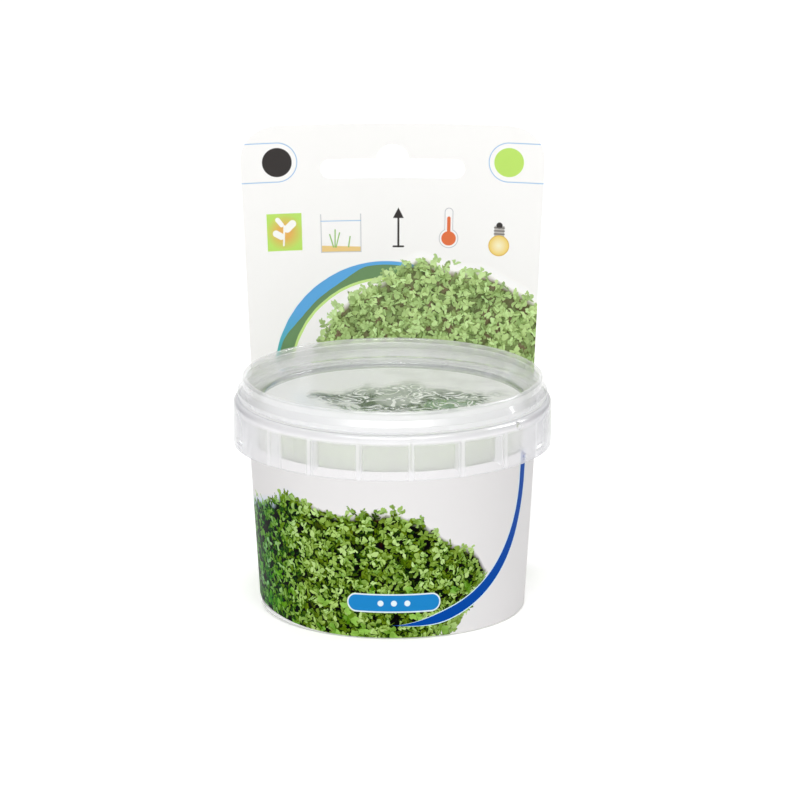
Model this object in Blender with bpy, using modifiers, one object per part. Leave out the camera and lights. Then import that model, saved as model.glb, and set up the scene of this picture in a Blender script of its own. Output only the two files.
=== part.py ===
"""Lidded plant tub with a printed wrap label, a header card and the living plant inside.

Units are metres, +Z up. The origin is the middle of the tub's flat base, and the front faces -Y.
"""

import math

import bmesh
import bpy
from mathutils import Matrix, Vector

MM = 0.001

# Tub wall, with a low ridge round its foot
FOOT_RADIUS = 33.2 * MM
FOOT_HEIGHT = 1.5 * MM
FOOT_SHOULDER = 0.25 * MM
FOOT_STRAIGHT_BOTTOM = 0.9 * MM
BASE_EDGE_RADIUS = 32.9 * MM
BASE_EDGE_HEIGHT = 0.3 * MM
BASE_FLAT_RADIUS = 32.2 * MM
WALL_RADIUS_AT_BASE = 32.65 * MM
WALL_TAPER = 0.0635
WALL_THICKNESS = 0.9 * MM
FLOOR_THICKNESS = 1.3 * MM
INNER_CORNER_RADIUS = 3.0 * MM
GROOVE_INNER_RADIUS = 25.4 * MM
GROOVE_OUTER_RADIUS = 28.4 * MM
GROOVE_DEPTH = 0.5 * MM
GROOVE_SLOPE = 0.3 * MM

# Tub rim, which flares outwards above the collar
RIM_TOP = 56.6 * MM
RIM_OUTER_RADIUS = 37.1 * MM
RIM_THICKNESS = 0.95 * MM
RIM_EDGE = 0.3 * MM
RIM_BEAD_BOTTOM = 55.8 * MM
FLARE_START = 52.4 * MM

# Tamper collar
COLLAR_RADIUS = 40.0 * MM
COLLAR_THICKNESS = 0.8 * MM
COLLAR_BOTTOM = 42.5 * MM
COLLAR_CORNER = 52.1 * MM
COLLAR_TOP = 53.75 * MM
COLLAR_SHOULDER_RADIUS = 38.75 * MM
COLLAR_ROOT = 0.4 * MM
COLLAR_INNER_BEVEL = 0.5 * MM
WEB_THICKNESS = 1.0 * MM
FIN_COUNT = 19
FIN_FIRST_ANGLE = -12.1
FIN_THICKNESS = 0.65 * MM
FIN_OVERLAP = 0.4 * MM
FIN_FOOT_AT_WALL = 44.15 * MM
FIN_FOOT_AT_SKIRT = 42.8 * MM

# Openings in the collar's skirt: angle from the front towards +X, height of the middle, width and height
SKIRT_OPENINGS = {
    "window_right": (67.8, 44.7 * MM, 5.2 * MM, 1.3 * MM),
    "window_left": (-73.6, 44.7 * MM, 5.2 * MM, 1.3 * MM),
    "tear_hole": (55.2, 44.1 * MM, 1.3 * MM, 1.3 * MM),
}
TEAR_NOTCH_ANGLE = 51.6
TEAR_NOTCH_LENGTH = 2.4 * MM
TEAR_NOTCH_SIZE = 1.5 * MM
TEAR_NOTCH_DEPTH = 0.6 * MM

# Lid
LID_THICKNESS = 0.75 * MM
PANEL_RADIUS = 33.2 * MM
PANEL_TOP = 53.1 * MM
LID_INNER_EDGE_RADIUS = 36.3 * MM
LID_INNER_EDGE_HEIGHT = 59.0 * MM
LID_CROWN_HEIGHT = 59.4 * MM
LID_CROWN_RADIUS = 37.8 * MM
LID_CROWN_ROUND = 0.7 * MM
LID_WAIST_RADIUS = 37.75 * MM
LID_WAIST_HEIGHT = 57.3 * MM
LID_LIP_RADIUS = 38.9 * MM
LID_LIP_TOP = 55.7 * MM
LID_LIP_BOTTOM = 54.15 * MM
LID_LIP_THICKNESS = 0.9 * MM
LID_LIP_INSIDE_TOP = 55.3 * MM
LID_GRIP_RADIUS = 37.45 * MM
LID_FILLET = 0.4 * MM

# Wrap label
LABEL_GAP = 0.3 * MM
LABEL_THICKNESS = 0.3 * MM
LABEL_BOTTOM = 1.8 * MM
LABEL_TOP = 43.7 * MM

# Header card: a fan-shaped sheet, leaning back from its foot and over the collar
CARD_THICKNESS = 0.5 * MM
CARD_FRONT_AT_BASE = 33.32 * MM
CARD_LEAN = math.radians(9.67)
CARD_BOW_RADIUS = 450.0 * MM
CARD_FOOT = 2.4 * MM
CARD_TOP = 113.8 * MM
CARD_HALF_WIDTH_AT_BASE = 33.8 * MM
CARD_SPREAD = 0.051
CARD_TOP_CORNER = 8.5 * MM
CARD_FOOT_CORNER = 4.0 * MM
CARD_BEND_LINES = 9

# Hang slot in the card: a long slot with a round notch in the middle of its upper side
SLOT_LENGTH = 37.2 * MM
SLOT_HEIGHT = 5.0 * MM
SLOT_MIDDLE = 102.3 * MM
NOTCH_RADIUS = 4.3 * MM
NOTCH_MIDDLE = 104.2 * MM

# Culture gel, and the plant's clumps with the height of each one's top: the middle one, then round from +X
GEL_TOP = 13.0 * MM
GEL_GAP = 0.35 * MM
GEL_CORNER_RADIUS = 2.6 * MM
CLUMP_COUNT_ROUND = 6
CLUMP_SPACING = 21.4 * MM
CLUMP_RADIUS = 10.2 * MM
CLUMP_FOOT = 13.35 * MM
CLUMP_TOP_HOLLOWS = 1.2 * MM
CLUMP_TOPS = (47.9 * MM, 47.6 * MM, 47.2 * MM, 45.5 * MM, 44.0 * MM, 45.5 * MM, 47.4 * MM)

TURN_STEPS = 52
MERGE = 0.01 * MM


def wall_radius(z):
    return WALL_RADIUS_AT_BASE + WALL_TAPER * z


def clear_scene():
    for obj in list(bpy.data.objects):
        bpy.data.objects.remove(obj)


def new_collection(name):
    collection = bpy.data.collections.new(name)
    bpy.context.scene.collection.children.link(collection)
    return collection


def new_material(name, color, roughness, transmission=0.0, ior=1.5):
    material = bpy.data.materials.new(name)
    material.use_nodes = True
    shader = material.node_tree.nodes["Principled BSDF"]
    shader.inputs["Base Color"].default_value = (*color, 1.0)
    shader.inputs["Roughness"].default_value = roughness
    shader.inputs["Metallic"].default_value = 0.0
    shader.inputs["Transmission Weight"].default_value = transmission
    shader.inputs["IOR"].default_value = ior
    return material


def new_object(name, mesh, collection, material=None):
    obj = bpy.data.objects.new(name, mesh)
    collection.objects.link(obj)
    if material is not None:
        obj.data.materials.append(material)
    return obj


def as_cutter(obj):
    obj.hide_render = True
    obj.display_type = "WIRE"


def boolean(obj, operation, other):
    modifier = obj.modifiers.new(other.name, "BOOLEAN")
    modifier.operation = operation
    modifier.object = other
    modifier.solver = "EXACT"


def arc(centre, radius, start, end, steps):
    """Points on an arc, from the start angle to the end angle in degrees."""
    points = []
    for i in range(steps + 1):
        angle = math.radians(start + (end - start) * i / steps)
        points.append((centre[0] + radius * math.cos(angle), centre[1] + radius * math.sin(angle)))
    return points


def turned(name, profile, closed, collection, material):
    """Turns a profile of (radius, height) points round Z. Its outer side runs from top to bottom."""
    bm = bmesh.new()
    points = [bm.verts.new((radius, 0.0, height)) for radius, height in profile]
    for first, second in zip(points, points[1:]):
        bm.edges.new((first, second))
    if closed:
        bm.edges.new((points[-1], points[0]))
    mesh = bpy.data.meshes.new(name)
    bm.to_mesh(mesh)
    bm.free()
    obj = new_object(name, mesh, collection, material)
    screw = obj.modifiers.new("turn", "SCREW")
    screw.axis = "Z"
    screw.steps = TURN_STEPS
    screw.render_steps = TURN_STEPS
    screw.use_merge_vertices = True
    screw.merge_threshold = MERGE
    screw.use_smooth_shade = True
    return obj


def tub_inside():
    """From the middle of the floor, out, up the wall and to the top of the flared rim."""
    corner_height = FLOOR_THICKNESS + INNER_CORNER_RADIUS
    corner_radius = wall_radius(corner_height) - WALL_THICKNESS - INNER_CORNER_RADIUS
    points = [(0.0, FLOOR_THICKNESS)]
    points += arc((corner_radius, corner_height), INNER_CORNER_RADIUS, -90, 0, 3)
    points.append((wall_radius(FLARE_START) - WALL_THICKNESS, FLARE_START))
    points.append((RIM_OUTER_RADIUS - RIM_THICKNESS, RIM_TOP - RIM_EDGE))
    points.append((RIM_OUTER_RADIUS - RIM_THICKNESS + RIM_EDGE, RIM_TOP))
    return points


def tub_outside():
    """Down from the rim, round the collar and down the wall to the foot."""
    shoulder = COLLAR_RADIUS - COLLAR_SHOULDER_RADIUS
    inner = COLLAR_RADIUS - COLLAR_THICKNESS
    web_bottom = COLLAR_TOP - WEB_THICKNESS
    shoulder_of_foot = FOOT_HEIGHT + FOOT_SHOULDER
    points = [
        (RIM_OUTER_RADIUS - RIM_EDGE, RIM_TOP),
        (RIM_OUTER_RADIUS, RIM_TOP - RIM_EDGE),
        (RIM_OUTER_RADIUS, RIM_BEAD_BOTTOM),
        (RIM_OUTER_RADIUS - RIM_EDGE, RIM_BEAD_BOTTOM - RIM_EDGE),
        (wall_radius(COLLAR_TOP) + COLLAR_ROOT, COLLAR_TOP),
    ]
    for radius, height in arc((0.0, 0.0), 1.0, 90, 0, 3):
        points.append((
            COLLAR_SHOULDER_RADIUS + shoulder * radius,
            COLLAR_CORNER + (COLLAR_TOP - COLLAR_CORNER) * height,
        ))
    points += [
        (COLLAR_RADIUS, COLLAR_BOTTOM),
        (inner, COLLAR_BOTTOM),
        (inner, web_bottom - COLLAR_INNER_BEVEL),
        (inner - COLLAR_INNER_BEVEL, web_bottom),
        (wall_radius(web_bottom), web_bottom),
        (wall_radius(shoulder_of_foot), shoulder_of_foot),
        (FOOT_RADIUS, FOOT_HEIGHT),
        (FOOT_RADIUS, FOOT_STRAIGHT_BOTTOM),
        (BASE_EDGE_RADIUS, BASE_EDGE_HEIGHT),
    ]
    return points


def tub_base():
    """The flat base, with a shallow ring-shaped groove."""
    return [
        (BASE_FLAT_RADIUS, 0.0),
        (GROOVE_OUTER_RADIUS + GROOVE_SLOPE, 0.0),
        (GROOVE_OUTER_RADIUS, GROOVE_DEPTH),
        (GROOVE_INNER_RADIUS, GROOVE_DEPTH),
        (GROOVE_INNER_RADIUS - GROOVE_SLOPE, 0.0),
        (0.0, 0.0),
    ]


def round_from_front(angle):
    """Turns something modelled towards +X so that it stands at this angle from the front, towards +X."""
    return Matrix.Rotation(math.radians(angle - 90.0), 4, "Z")


def make_fins(collection):
    """The fins under the collar, which reach from the wall to the skirt. The tub joins them to itself."""
    inner = wall_radius(FIN_FOOT_AT_WALL) - FIN_OVERLAP
    outer = COLLAR_RADIUS - COLLAR_THICKNESS / 2
    top = COLLAR_TOP - WEB_THICKNESS / 2
    bm = bmesh.new()
    for i in range(FIN_COUNT):
        fin = bmesh.ops.create_cube(bm, size=1.0)["verts"]
        for vert in fin:
            at_wall = vert.co.x < 0
            foot = FIN_FOOT_AT_WALL if at_wall else FIN_FOOT_AT_SKIRT
            height = top if vert.co.z > 0 else foot
            vert.co = Vector((inner if at_wall else outer, vert.co.y * FIN_THICKNESS, height))
        turn = round_from_front(FIN_FIRST_ANGLE + 360.0 * i / FIN_COUNT)
        bmesh.ops.transform(bm, matrix=turn, verts=fin)
    mesh = bpy.data.meshes.new("collar_fins")
    bm.to_mesh(mesh)
    bm.free()
    fins = new_object("collar_fins", mesh, collection)
    as_cutter(fins)
    return fins


def make_cutter(name, matrix, collection):
    """A cube of one metre, brought to its size and place by the matrix."""
    bpy.ops.mesh.primitive_cube_add(size=1.0)
    cutter = bpy.context.object
    cutter.name = name
    cutter.data.transform(matrix)
    for old in cutter.users_collection:
        old.objects.unlink(cutter)
    collection.objects.link(cutter)
    as_cutter(cutter)
    return cutter


def make_skirt_cutter(name, angle, height, width, tall, collection):
    """A block through the collar's skirt only."""
    size = Matrix.Diagonal((COLLAR_THICKNESS * 2.5, width, tall, 1.0))
    place = Matrix.Translation((COLLAR_RADIUS - COLLAR_THICKNESS / 2, 0.0, height))
    return make_cutter(name, round_from_front(angle) @ place @ size, collection)


def make_tear_notch(collection):
    """A square bar laid on its edge across the collar's top corner, which leaves a small V there."""
    size = Matrix.Diagonal((TEAR_NOTCH_LENGTH, TEAR_NOTCH_SIZE, TEAR_NOTCH_SIZE, 1.0))
    edge_down = Matrix.Rotation(math.radians(45.0), 4, "X")
    height = COLLAR_CORNER + TEAR_NOTCH_SIZE / math.sqrt(2.0) - TEAR_NOTCH_DEPTH
    place = round_from_front(TEAR_NOTCH_ANGLE) @ Matrix.Translation((COLLAR_RADIUS, 0.0, height))
    return make_cutter("tear_notch", place @ edge_down @ size, collection)


def make_tub(collection, cutters):
    material = new_material("tub_polypropylene", (0.86, 0.87, 0.88), 0.25, 0.9)
    profile = tub_inside() + tub_outside() + tub_base()
    tub = turned("tub", profile, False, collection, material)
    boolean(tub, "UNION", make_fins(cutters))
    for name, (angle, height, width, tall) in SKIRT_OPENINGS.items():
        boolean(tub, "DIFFERENCE", make_skirt_cutter(name, angle, height, width, tall, cutters))
    boolean(tub, "DIFFERENCE", make_tear_notch(cutters))
    return tub


def lid_wall(height, outward=0.0):
    """Radius of the sloping wall round the sunken panel, on its upper face or offset outwards."""
    run = (LID_INNER_EDGE_RADIUS - PANEL_RADIUS) / (LID_INNER_EDGE_HEIGHT - PANEL_TOP)
    return PANEL_RADIUS + (height - PANEL_TOP) * run + outward * math.hypot(1.0, run)


def make_lid(collection):
    material = new_material("lid_polypropylene", (0.88, 0.89, 0.90), 0.15, 0.92)
    panel_bottom = PANEL_TOP - LID_THICKNESS
    hollow_top = LID_CROWN_HEIGHT - LID_THICKNESS - LID_FILLET
    profile = [
        (0.0, PANEL_TOP),
        (PANEL_RADIUS - LID_FILLET, PANEL_TOP),
        (lid_wall(PANEL_TOP + LID_FILLET), PANEL_TOP + LID_FILLET),
        (LID_INNER_EDGE_RADIUS, LID_INNER_EDGE_HEIGHT),
        (LID_INNER_EDGE_RADIUS + LID_FILLET, LID_CROWN_HEIGHT),
    ]
    crown_middle = (LID_CROWN_RADIUS - LID_CROWN_ROUND, LID_CROWN_HEIGHT - LID_CROWN_ROUND)
    profile += arc(crown_middle, LID_CROWN_ROUND, 90, 0, 2)
    profile += [
        (LID_WAIST_RADIUS, LID_WAIST_HEIGHT),
        (LID_LIP_RADIUS, LID_LIP_TOP),
        (LID_LIP_RADIUS, LID_LIP_BOTTOM + LID_FILLET),
        (LID_LIP_RADIUS - LID_FILLET, LID_LIP_BOTTOM),
        (LID_LIP_RADIUS - LID_LIP_THICKNESS, LID_LIP_BOTTOM),
        (LID_LIP_RADIUS - LID_LIP_THICKNESS, LID_LIP_INSIDE_TOP),
        (LID_GRIP_RADIUS, RIM_TOP),
        (LID_CROWN_RADIUS - LID_THICKNESS, hollow_top),
        (lid_wall(hollow_top, LID_THICKNESS), hollow_top),
        (lid_wall(panel_bottom + LID_FILLET, LID_THICKNESS), panel_bottom + LID_FILLET),
        (PANEL_RADIUS, panel_bottom),
        (0.0, panel_bottom),
    ]
    return turned("lid", profile, False, collection, material)


def make_label(collection):
    material = new_material("printed_film", (0.88, 0.87, 0.86), 0.35)
    profile = [
        (wall_radius(LABEL_TOP) + LABEL_GAP + LABEL_THICKNESS, LABEL_TOP),
        (wall_radius(LABEL_BOTTOM) + LABEL_GAP + LABEL_THICKNESS, LABEL_BOTTOM),
        (wall_radius(LABEL_BOTTOM) + LABEL_GAP, LABEL_BOTTOM),
        (wall_radius(LABEL_TOP) + LABEL_GAP, LABEL_TOP),
    ]
    return turned("wrap_label", profile, True, collection, material)


def fan_point(across, up):
    """Bends a flat card's point so that its sides are spokes and its top and foot are arcs."""
    reach = CARD_HALF_WIDTH_AT_BASE / CARD_SPREAD
    angle = across / reach
    return math.sin(angle) * (reach + up), math.cos(angle) * (reach + up) - reach


def card_outline():
    """The card's edge before it is fanned: a rectangle with rounded corners."""
    half = CARD_HALF_WIDTH_AT_BASE
    top_shrink = CARD_TOP_CORNER / (1.0 + CARD_SPREAD * CARD_TOP / half)
    points = []
    for side in (1, -1):
        foot = arc((half - CARD_FOOT_CORNER, CARD_FOOT + CARD_FOOT_CORNER), CARD_FOOT_CORNER, -90, 0, 4)
        top = []
        for along, up in arc((0.0, 0.0), 1.0, 0, 90, 6):
            top.append((
                half - top_shrink + along * top_shrink,
                CARD_TOP - CARD_TOP_CORNER + up * CARD_TOP_CORNER,
            ))
        edge = foot + top
        points += [(side * across, up) for across, up in (edge if side > 0 else reversed(edge))]
    return [fan_point(across, up) for across, up in points]


def slot_outline():
    """The hang slot: round ends, and a round notch in the middle of its upper side."""
    radius = SLOT_HEIGHT / 2
    end = SLOT_LENGTH / 2 - radius
    slot_top = SLOT_MIDDLE + radius
    meet = math.degrees(math.asin((slot_top - NOTCH_MIDDLE) / NOTCH_RADIUS))
    points = arc((end, SLOT_MIDDLE), radius, -90, 90, 8)
    points += arc((0.0, NOTCH_MIDDLE), NOTCH_RADIUS, meet, 180 - meet, 8)
    points += arc((-end, SLOT_MIDDLE), radius, 90, 270, 8)
    return points


def flat_curve(name, outlines, thickness):
    """A flat sheet from closed outlines, the first round the others."""
    curve = bpy.data.curves.new(name, "CURVE")
    curve.dimensions = "2D"
    curve.fill_mode = "BOTH"
    curve.extrude = thickness / 2
    for outline in outlines:
        spline = curve.splines.new("POLY")
        spline.points.add(len(outline) - 1)
        spline.use_cyclic_u = True
        for point, (x, y) in zip(spline.points, outline):
            point.co = (x, y, 0.0, 1.0)
    return curve


def mesh_from_curve(curve):
    """The curve's sheet as a mesh with its caps welded on."""
    guide = bpy.data.objects.new("guide", curve)
    bpy.context.scene.collection.objects.link(guide)
    graph = bpy.context.evaluated_depsgraph_get()
    mesh = bpy.data.meshes.new_from_object(guide.evaluated_get(graph))
    bpy.data.objects.remove(guide)
    bm = bmesh.new()
    bm.from_mesh(mesh)
    bmesh.ops.remove_doubles(bm, verts=bm.verts, dist=MERGE)
    return bm, mesh


def bend_card(point):
    """Places a point of the flat card (across, up, towards the front) on the leaning, slightly bowed card."""
    across, up, front = point
    bow = across * across / (2.0 * CARD_BOW_RADIUS)
    middle = CARD_FRONT_AT_BASE + CARD_THICKNESS / 2 / math.cos(CARD_LEAN)
    depth = -front - bow
    return Vector((
        across,
        middle + up * math.sin(CARD_LEAN) + depth * math.cos(CARD_LEAN),
        up * math.cos(CARD_LEAN) - depth * math.sin(CARD_LEAN),
    ))


def make_card(collection):
    material = new_material("coated_board", (0.90, 0.90, 0.89), 0.4)
    curve = flat_curve("header_card", [card_outline(), slot_outline()], CARD_THICKNESS)
    bm, mesh = mesh_from_curve(curve)
    reach = CARD_HALF_WIDTH_AT_BASE
    for i in range(CARD_BEND_LINES):
        across = reach * (2.0 * (i + 1) / (CARD_BEND_LINES + 1) - 1.0)
        parts = bm.verts[:] + bm.edges[:] + bm.faces[:]
        bmesh.ops.bisect_plane(bm, geom=parts, dist=MERGE, plane_co=(across, 0, 0), plane_no=(1, 0, 0))
    for vert in bm.verts:
        vert.co = bend_card(vert.co)
    bm.to_mesh(mesh)
    bm.free()
    mesh.name = "header_card"
    mesh.materials.clear()
    return new_object("header_card", mesh, collection, material)


def make_gel(collection):
    material = new_material("culture_gel", (0.80, 0.82, 0.74), 0.1, 0.9, 1.34)
    foot = FLOOR_THICKNESS + GEL_GAP
    side = wall_radius(foot + GEL_CORNER_RADIUS) - WALL_THICKNESS - GEL_GAP
    top_side = wall_radius(GEL_TOP) - WALL_THICKNESS - GEL_GAP
    profile = [(0.0, GEL_TOP), (top_side, GEL_TOP)]
    profile += arc((side - GEL_CORNER_RADIUS, foot + GEL_CORNER_RADIUS), GEL_CORNER_RADIUS, 0, -90, 3)
    profile.append((0.0, foot))
    return turned("agar_gel", profile, False, collection, material)


def clump_point(direction, top, turn):
    """Where a clump's surface lies in this direction: a tuft, narrow where it is rooted and full above."""
    lumps = 0.5 + 0.5 * math.sin(5.0 * direction.x + turn) * math.sin(6.0 * direction.y - 2.0 * turn)
    lumps *= 0.6 + 0.4 * math.cos(7.0 * direction.z + turn)
    share = (direction.z + 1.0) / 2.0
    fullness = 0.62 + 0.38 * math.sin(min(share * 1.5, 1.0) * math.pi / 2)
    across = Vector((direction.x, direction.y, 0.0))
    flatter = min(across.length * 1.35, 1.0)
    radius = CLUMP_RADIUS * fullness * flatter * (0.88 + 0.12 * lumps)
    if across.length > 0.0:
        across = across.normalized() * radius
    height = CLUMP_FOOT + (top - CLUMP_FOOT) * share - CLUMP_TOP_HOLLOWS * lumps * share
    return Vector((across.x, across.y, max(height, CLUMP_FOOT)))


def make_clump(number, middle, top, collection, material):
    mesh = bpy.data.meshes.new(f"plant_clump_{number}")
    bm = bmesh.new()
    bmesh.ops.create_icosphere(bm, subdivisions=3, radius=1.0)
    for vert in bm.verts:
        vert.co = clump_point(vert.co.copy(), top, 1.7 * number) + middle
    bm.to_mesh(mesh)
    bm.free()
    mesh.shade_smooth()
    return new_object(mesh.name, mesh, collection, material)


def make_plants(collection):
    material = new_material("leaf_green", (0.10, 0.24, 0.05), 0.5)
    make_clump(1, Vector((0.0, 0.0, 0.0)), CLUMP_TOPS[0], collection, material)
    for i in range(CLUMP_COUNT_ROUND):
        angle = 2.0 * math.pi * i / CLUMP_COUNT_ROUND
        middle = Vector((math.cos(angle), math.sin(angle), 0.0)) * CLUMP_SPACING
        make_clump(i + 2, middle, CLUMP_TOPS[i + 1], collection, material)


def main():
    clear_scene()
    parts = new_collection("plant_tub")
    cutters = new_collection("cutters")
    make_tub(parts, cutters)
    make_lid(parts)
    make_label(parts)
    make_card(parts)
    make_gel(parts)
    make_plants(parts)


main()
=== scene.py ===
import math
import random

import bpy
from mathutils import Matrix, Vector


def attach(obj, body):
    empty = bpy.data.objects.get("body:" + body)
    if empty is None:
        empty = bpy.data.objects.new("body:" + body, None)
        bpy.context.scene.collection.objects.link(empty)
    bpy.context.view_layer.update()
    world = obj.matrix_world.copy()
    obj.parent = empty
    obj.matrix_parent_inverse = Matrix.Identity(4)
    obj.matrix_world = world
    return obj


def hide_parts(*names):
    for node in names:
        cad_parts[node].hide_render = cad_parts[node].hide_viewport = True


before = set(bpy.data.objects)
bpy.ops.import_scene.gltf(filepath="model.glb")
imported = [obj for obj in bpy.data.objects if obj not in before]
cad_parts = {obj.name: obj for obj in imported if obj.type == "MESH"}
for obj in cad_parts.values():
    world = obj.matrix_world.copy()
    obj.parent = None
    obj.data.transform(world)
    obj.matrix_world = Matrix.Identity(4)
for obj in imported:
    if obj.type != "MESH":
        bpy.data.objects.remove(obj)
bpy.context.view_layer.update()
print("frame loaded:", len(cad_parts), "nodes")

# Everything below is in millimetres until a mesh is made
mm = 0.001
turnSteps = 160
printBlur = 0.08
uvUnit = 100
scatter = random.Random(7)


# Small tools

def deselectAll():
    if bpy.context.object and bpy.context.object.mode != "OBJECT":
        bpy.ops.object.mode_set(mode="OBJECT")
    bpy.ops.object.select_all(action="DESELECT")


def selectOnly(*pieces):
    deselectAll()
    for piece in pieces:
        piece.select_set(True)
    bpy.context.view_layer.objects.active = pieces[0]


def applyModifiers(piece):
    selectOnly(piece)
    for modifier in list(piece.modifiers):
        bpy.ops.object.modifier_apply(modifier=modifier.name)


def applyPlace(piece):
    selectOnly(piece)
    bpy.ops.object.transform_apply(location=True, rotation=True, scale=True)


def joined(pieces, name):
    selectOnly(*pieces)
    bpy.ops.object.join()
    pieces[0].name = name
    pieces[0].data.name = name
    return pieces[0]


def roundEdges(piece, width, segments, angle):
    bevel = piece.modifiers.new("rounded edges", "BEVEL")
    bevel.width = width * mm
    bevel.segments = segments
    bevel.limit_method = "ANGLE"
    bevel.angle_limit = math.radians(angle)
    bevel.use_clamp_overlap = True
    applyModifiers(piece)


def smooth(piece, angle=35):
    selectOnly(piece)
    bpy.ops.object.shade_smooth_by_angle(angle=math.radians(angle))
    # Straight walls keep their own direction, so only the rounded edges catch a curved highlight
    weighted = piece.modifiers.new("weighted normals", "WEIGHTED_NORMAL")
    weighted.keep_sharp = True
    applyModifiers(piece)


def boolean(piece, operation, other):
    modifier = piece.modifiers.new(other.name, "BOOLEAN")
    modifier.operation = operation
    modifier.object = other
    modifier.solver = "EXACT"
    applyModifiers(piece)
    bpy.data.objects.remove(other)


# A profile of (radius, height) points is drawn point by point in edit mode and spun round the tub's axis
def turned(name, profile, steps=turnSteps):
    deselectAll()
    bpy.ops.mesh.primitive_plane_add(size=mm)
    piece = bpy.context.object
    piece.name = name
    bpy.ops.object.mode_set(mode="EDIT")
    bpy.ops.mesh.merge(type="CENTER")
    bpy.ops.transform.translate(value=(profile[0][0] * mm, 0, profile[0][1] * mm))
    for (radius, height), (nextRadius, nextHeight) in zip(profile, profile[1:]):
        step = ((nextRadius - radius) * mm, 0, (nextHeight - height) * mm)
        bpy.ops.mesh.extrude_vertices_move(TRANSFORM_OT_translate={"value": step})
    bpy.ops.mesh.select_all(action="SELECT")
    bpy.ops.mesh.spin(steps=steps, angle=2 * math.pi, center=(0, 0, 0), axis=(0, 0, 1))
    bpy.ops.mesh.select_all(action="SELECT")
    bpy.ops.mesh.remove_doubles(threshold=0.002 * mm)
    bpy.ops.mesh.normals_make_consistent(inside=False)
    bpy.ops.object.mode_set(mode="OBJECT")
    return piece


def standAt(piece, angle):
    # Turns a piece that was made towards +X to this angle from the front, counted towards +X
    piece.rotation_euler.z = math.radians(angle - 90)
    applyPlace(piece)


def blockAt(name, size, place, turn=(0, 0, 0)):
    deselectAll()
    bpy.ops.mesh.primitive_cube_add(size=1, location=[p * mm for p in place], rotation=turn)
    block = bpy.context.object
    block.name = name
    block.scale = [s * mm for s in size]
    applyPlace(block)
    return block


def bisectAlong(axis, spots):
    # Cuts the piece that is open in edit mode across this axis at each spot
    for spot in spots:
        bpy.ops.mesh.select_all(action="SELECT")
        bpy.ops.mesh.bisect(plane_co=[a * spot * mm for a in axis], plane_no=axis)


def arcPoints(middle, radius, start, end, steps):
    angles = [math.radians(start + (end - start) * i / steps) for i in range(steps + 1)]
    return [(middle[0] + radius * math.cos(a), middle[1] + radius * math.sin(a)) for a in angles]


def coat(piece, *materials):
    piece.data.materials.clear()
    for material in materials:
        piece.data.materials.append(material)


def hexColor(code):
    channels = [int(code[i:i + 2], 16) / 255 for i in (1, 3, 5)]
    linear = [c / 12.92 if c <= 0.04045 else ((c + 0.055) / 1.055) ** 2.4 for c in channels]
    return (*linear, 1.0)


def newMaterial(name, sockets):
    mat = bpy.data.materials.new(name)
    mat.use_nodes = True
    shader = mat.node_tree.nodes["Principled BSDF"]
    for socket, value in sockets.items():
        shader.inputs[socket].default_value = value
    return mat, shader


def connect(mat, value, target):
    # A node stands for its first output
    if isinstance(value, bpy.types.Node):
        value = next(output for output in value.outputs if output.enabled)
    if isinstance(value, bpy.types.NodeSocket):
        mat.node_tree.links.new(value, target)
    else:
        target.default_value = value


# Adds a node, such as "TexNoise" or "Math SUBTRACT". The values go to the inputs that it shows, in order.
def addNode(mat, kind, *values, **settings):
    kind, *operation = kind.split()
    node = mat.node_tree.nodes.new("ShaderNode" + kind)
    if operation:
        node.operation = operation[0]
    for name, value in settings.items():
        setattr(node, name, value)
    for target, value in zip([socket for socket in node.inputs if socket.enabled], values):
        connect(mat, value, target)
    return node


def ramp(mat, value, start, end, low=0.0, high=1.0, kind="LINEAR"):
    # Low up to the start and high from the end on
    return addNode(mat, "MapRange", value, start, end, low, high, interpolation_type=kind)


def both(mat, first, second):
    return addNode(mat, "Math MULTIPLY", first, second)


def blend(mat, mask, below, above):
    return addNode(mat, "Mix", mask, below, above)


def tinted(mat, below, mask, color, how="MIX"):
    below, color = (hexColor(c) if isinstance(c, str) else c for c in (below, color))
    return addNode(mat, "Mix", mask, below, color, data_type="RGBA", blend_type=how)


def mottled(mat, size, detail, first, second):
    # One colour that passes into another in patches of this size
    place = addNode(mat, "TexCoord").outputs["Object"]
    patches = addNode(mat, "TexNoise", place, 1 / (size * mm), detail)
    return tinted(mat, first, patches, second)


def distanceFromAxis(mat, place):
    flat = addNode(mat, "VectorMath MULTIPLY", place, (1 / mm, 1 / mm, 0))
    return flat, addNode(mat, "VectorMath LENGTH", flat)


def inShares(mat, place, middle, size):
    # Where a place lies from an oval's middle, as shares of the oval's half width and half height
    away = addNode(mat, "VectorMath SUBTRACT", place, (*middle, 0))
    return addNode(mat, "VectorMath DIVIDE", away, (*size, 1))


# Clear plastics. Where a haze has two numbers, they are for the wall seen straight on and seen edge on, and
# two numbers of a place are where something starts and where it is full.

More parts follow.
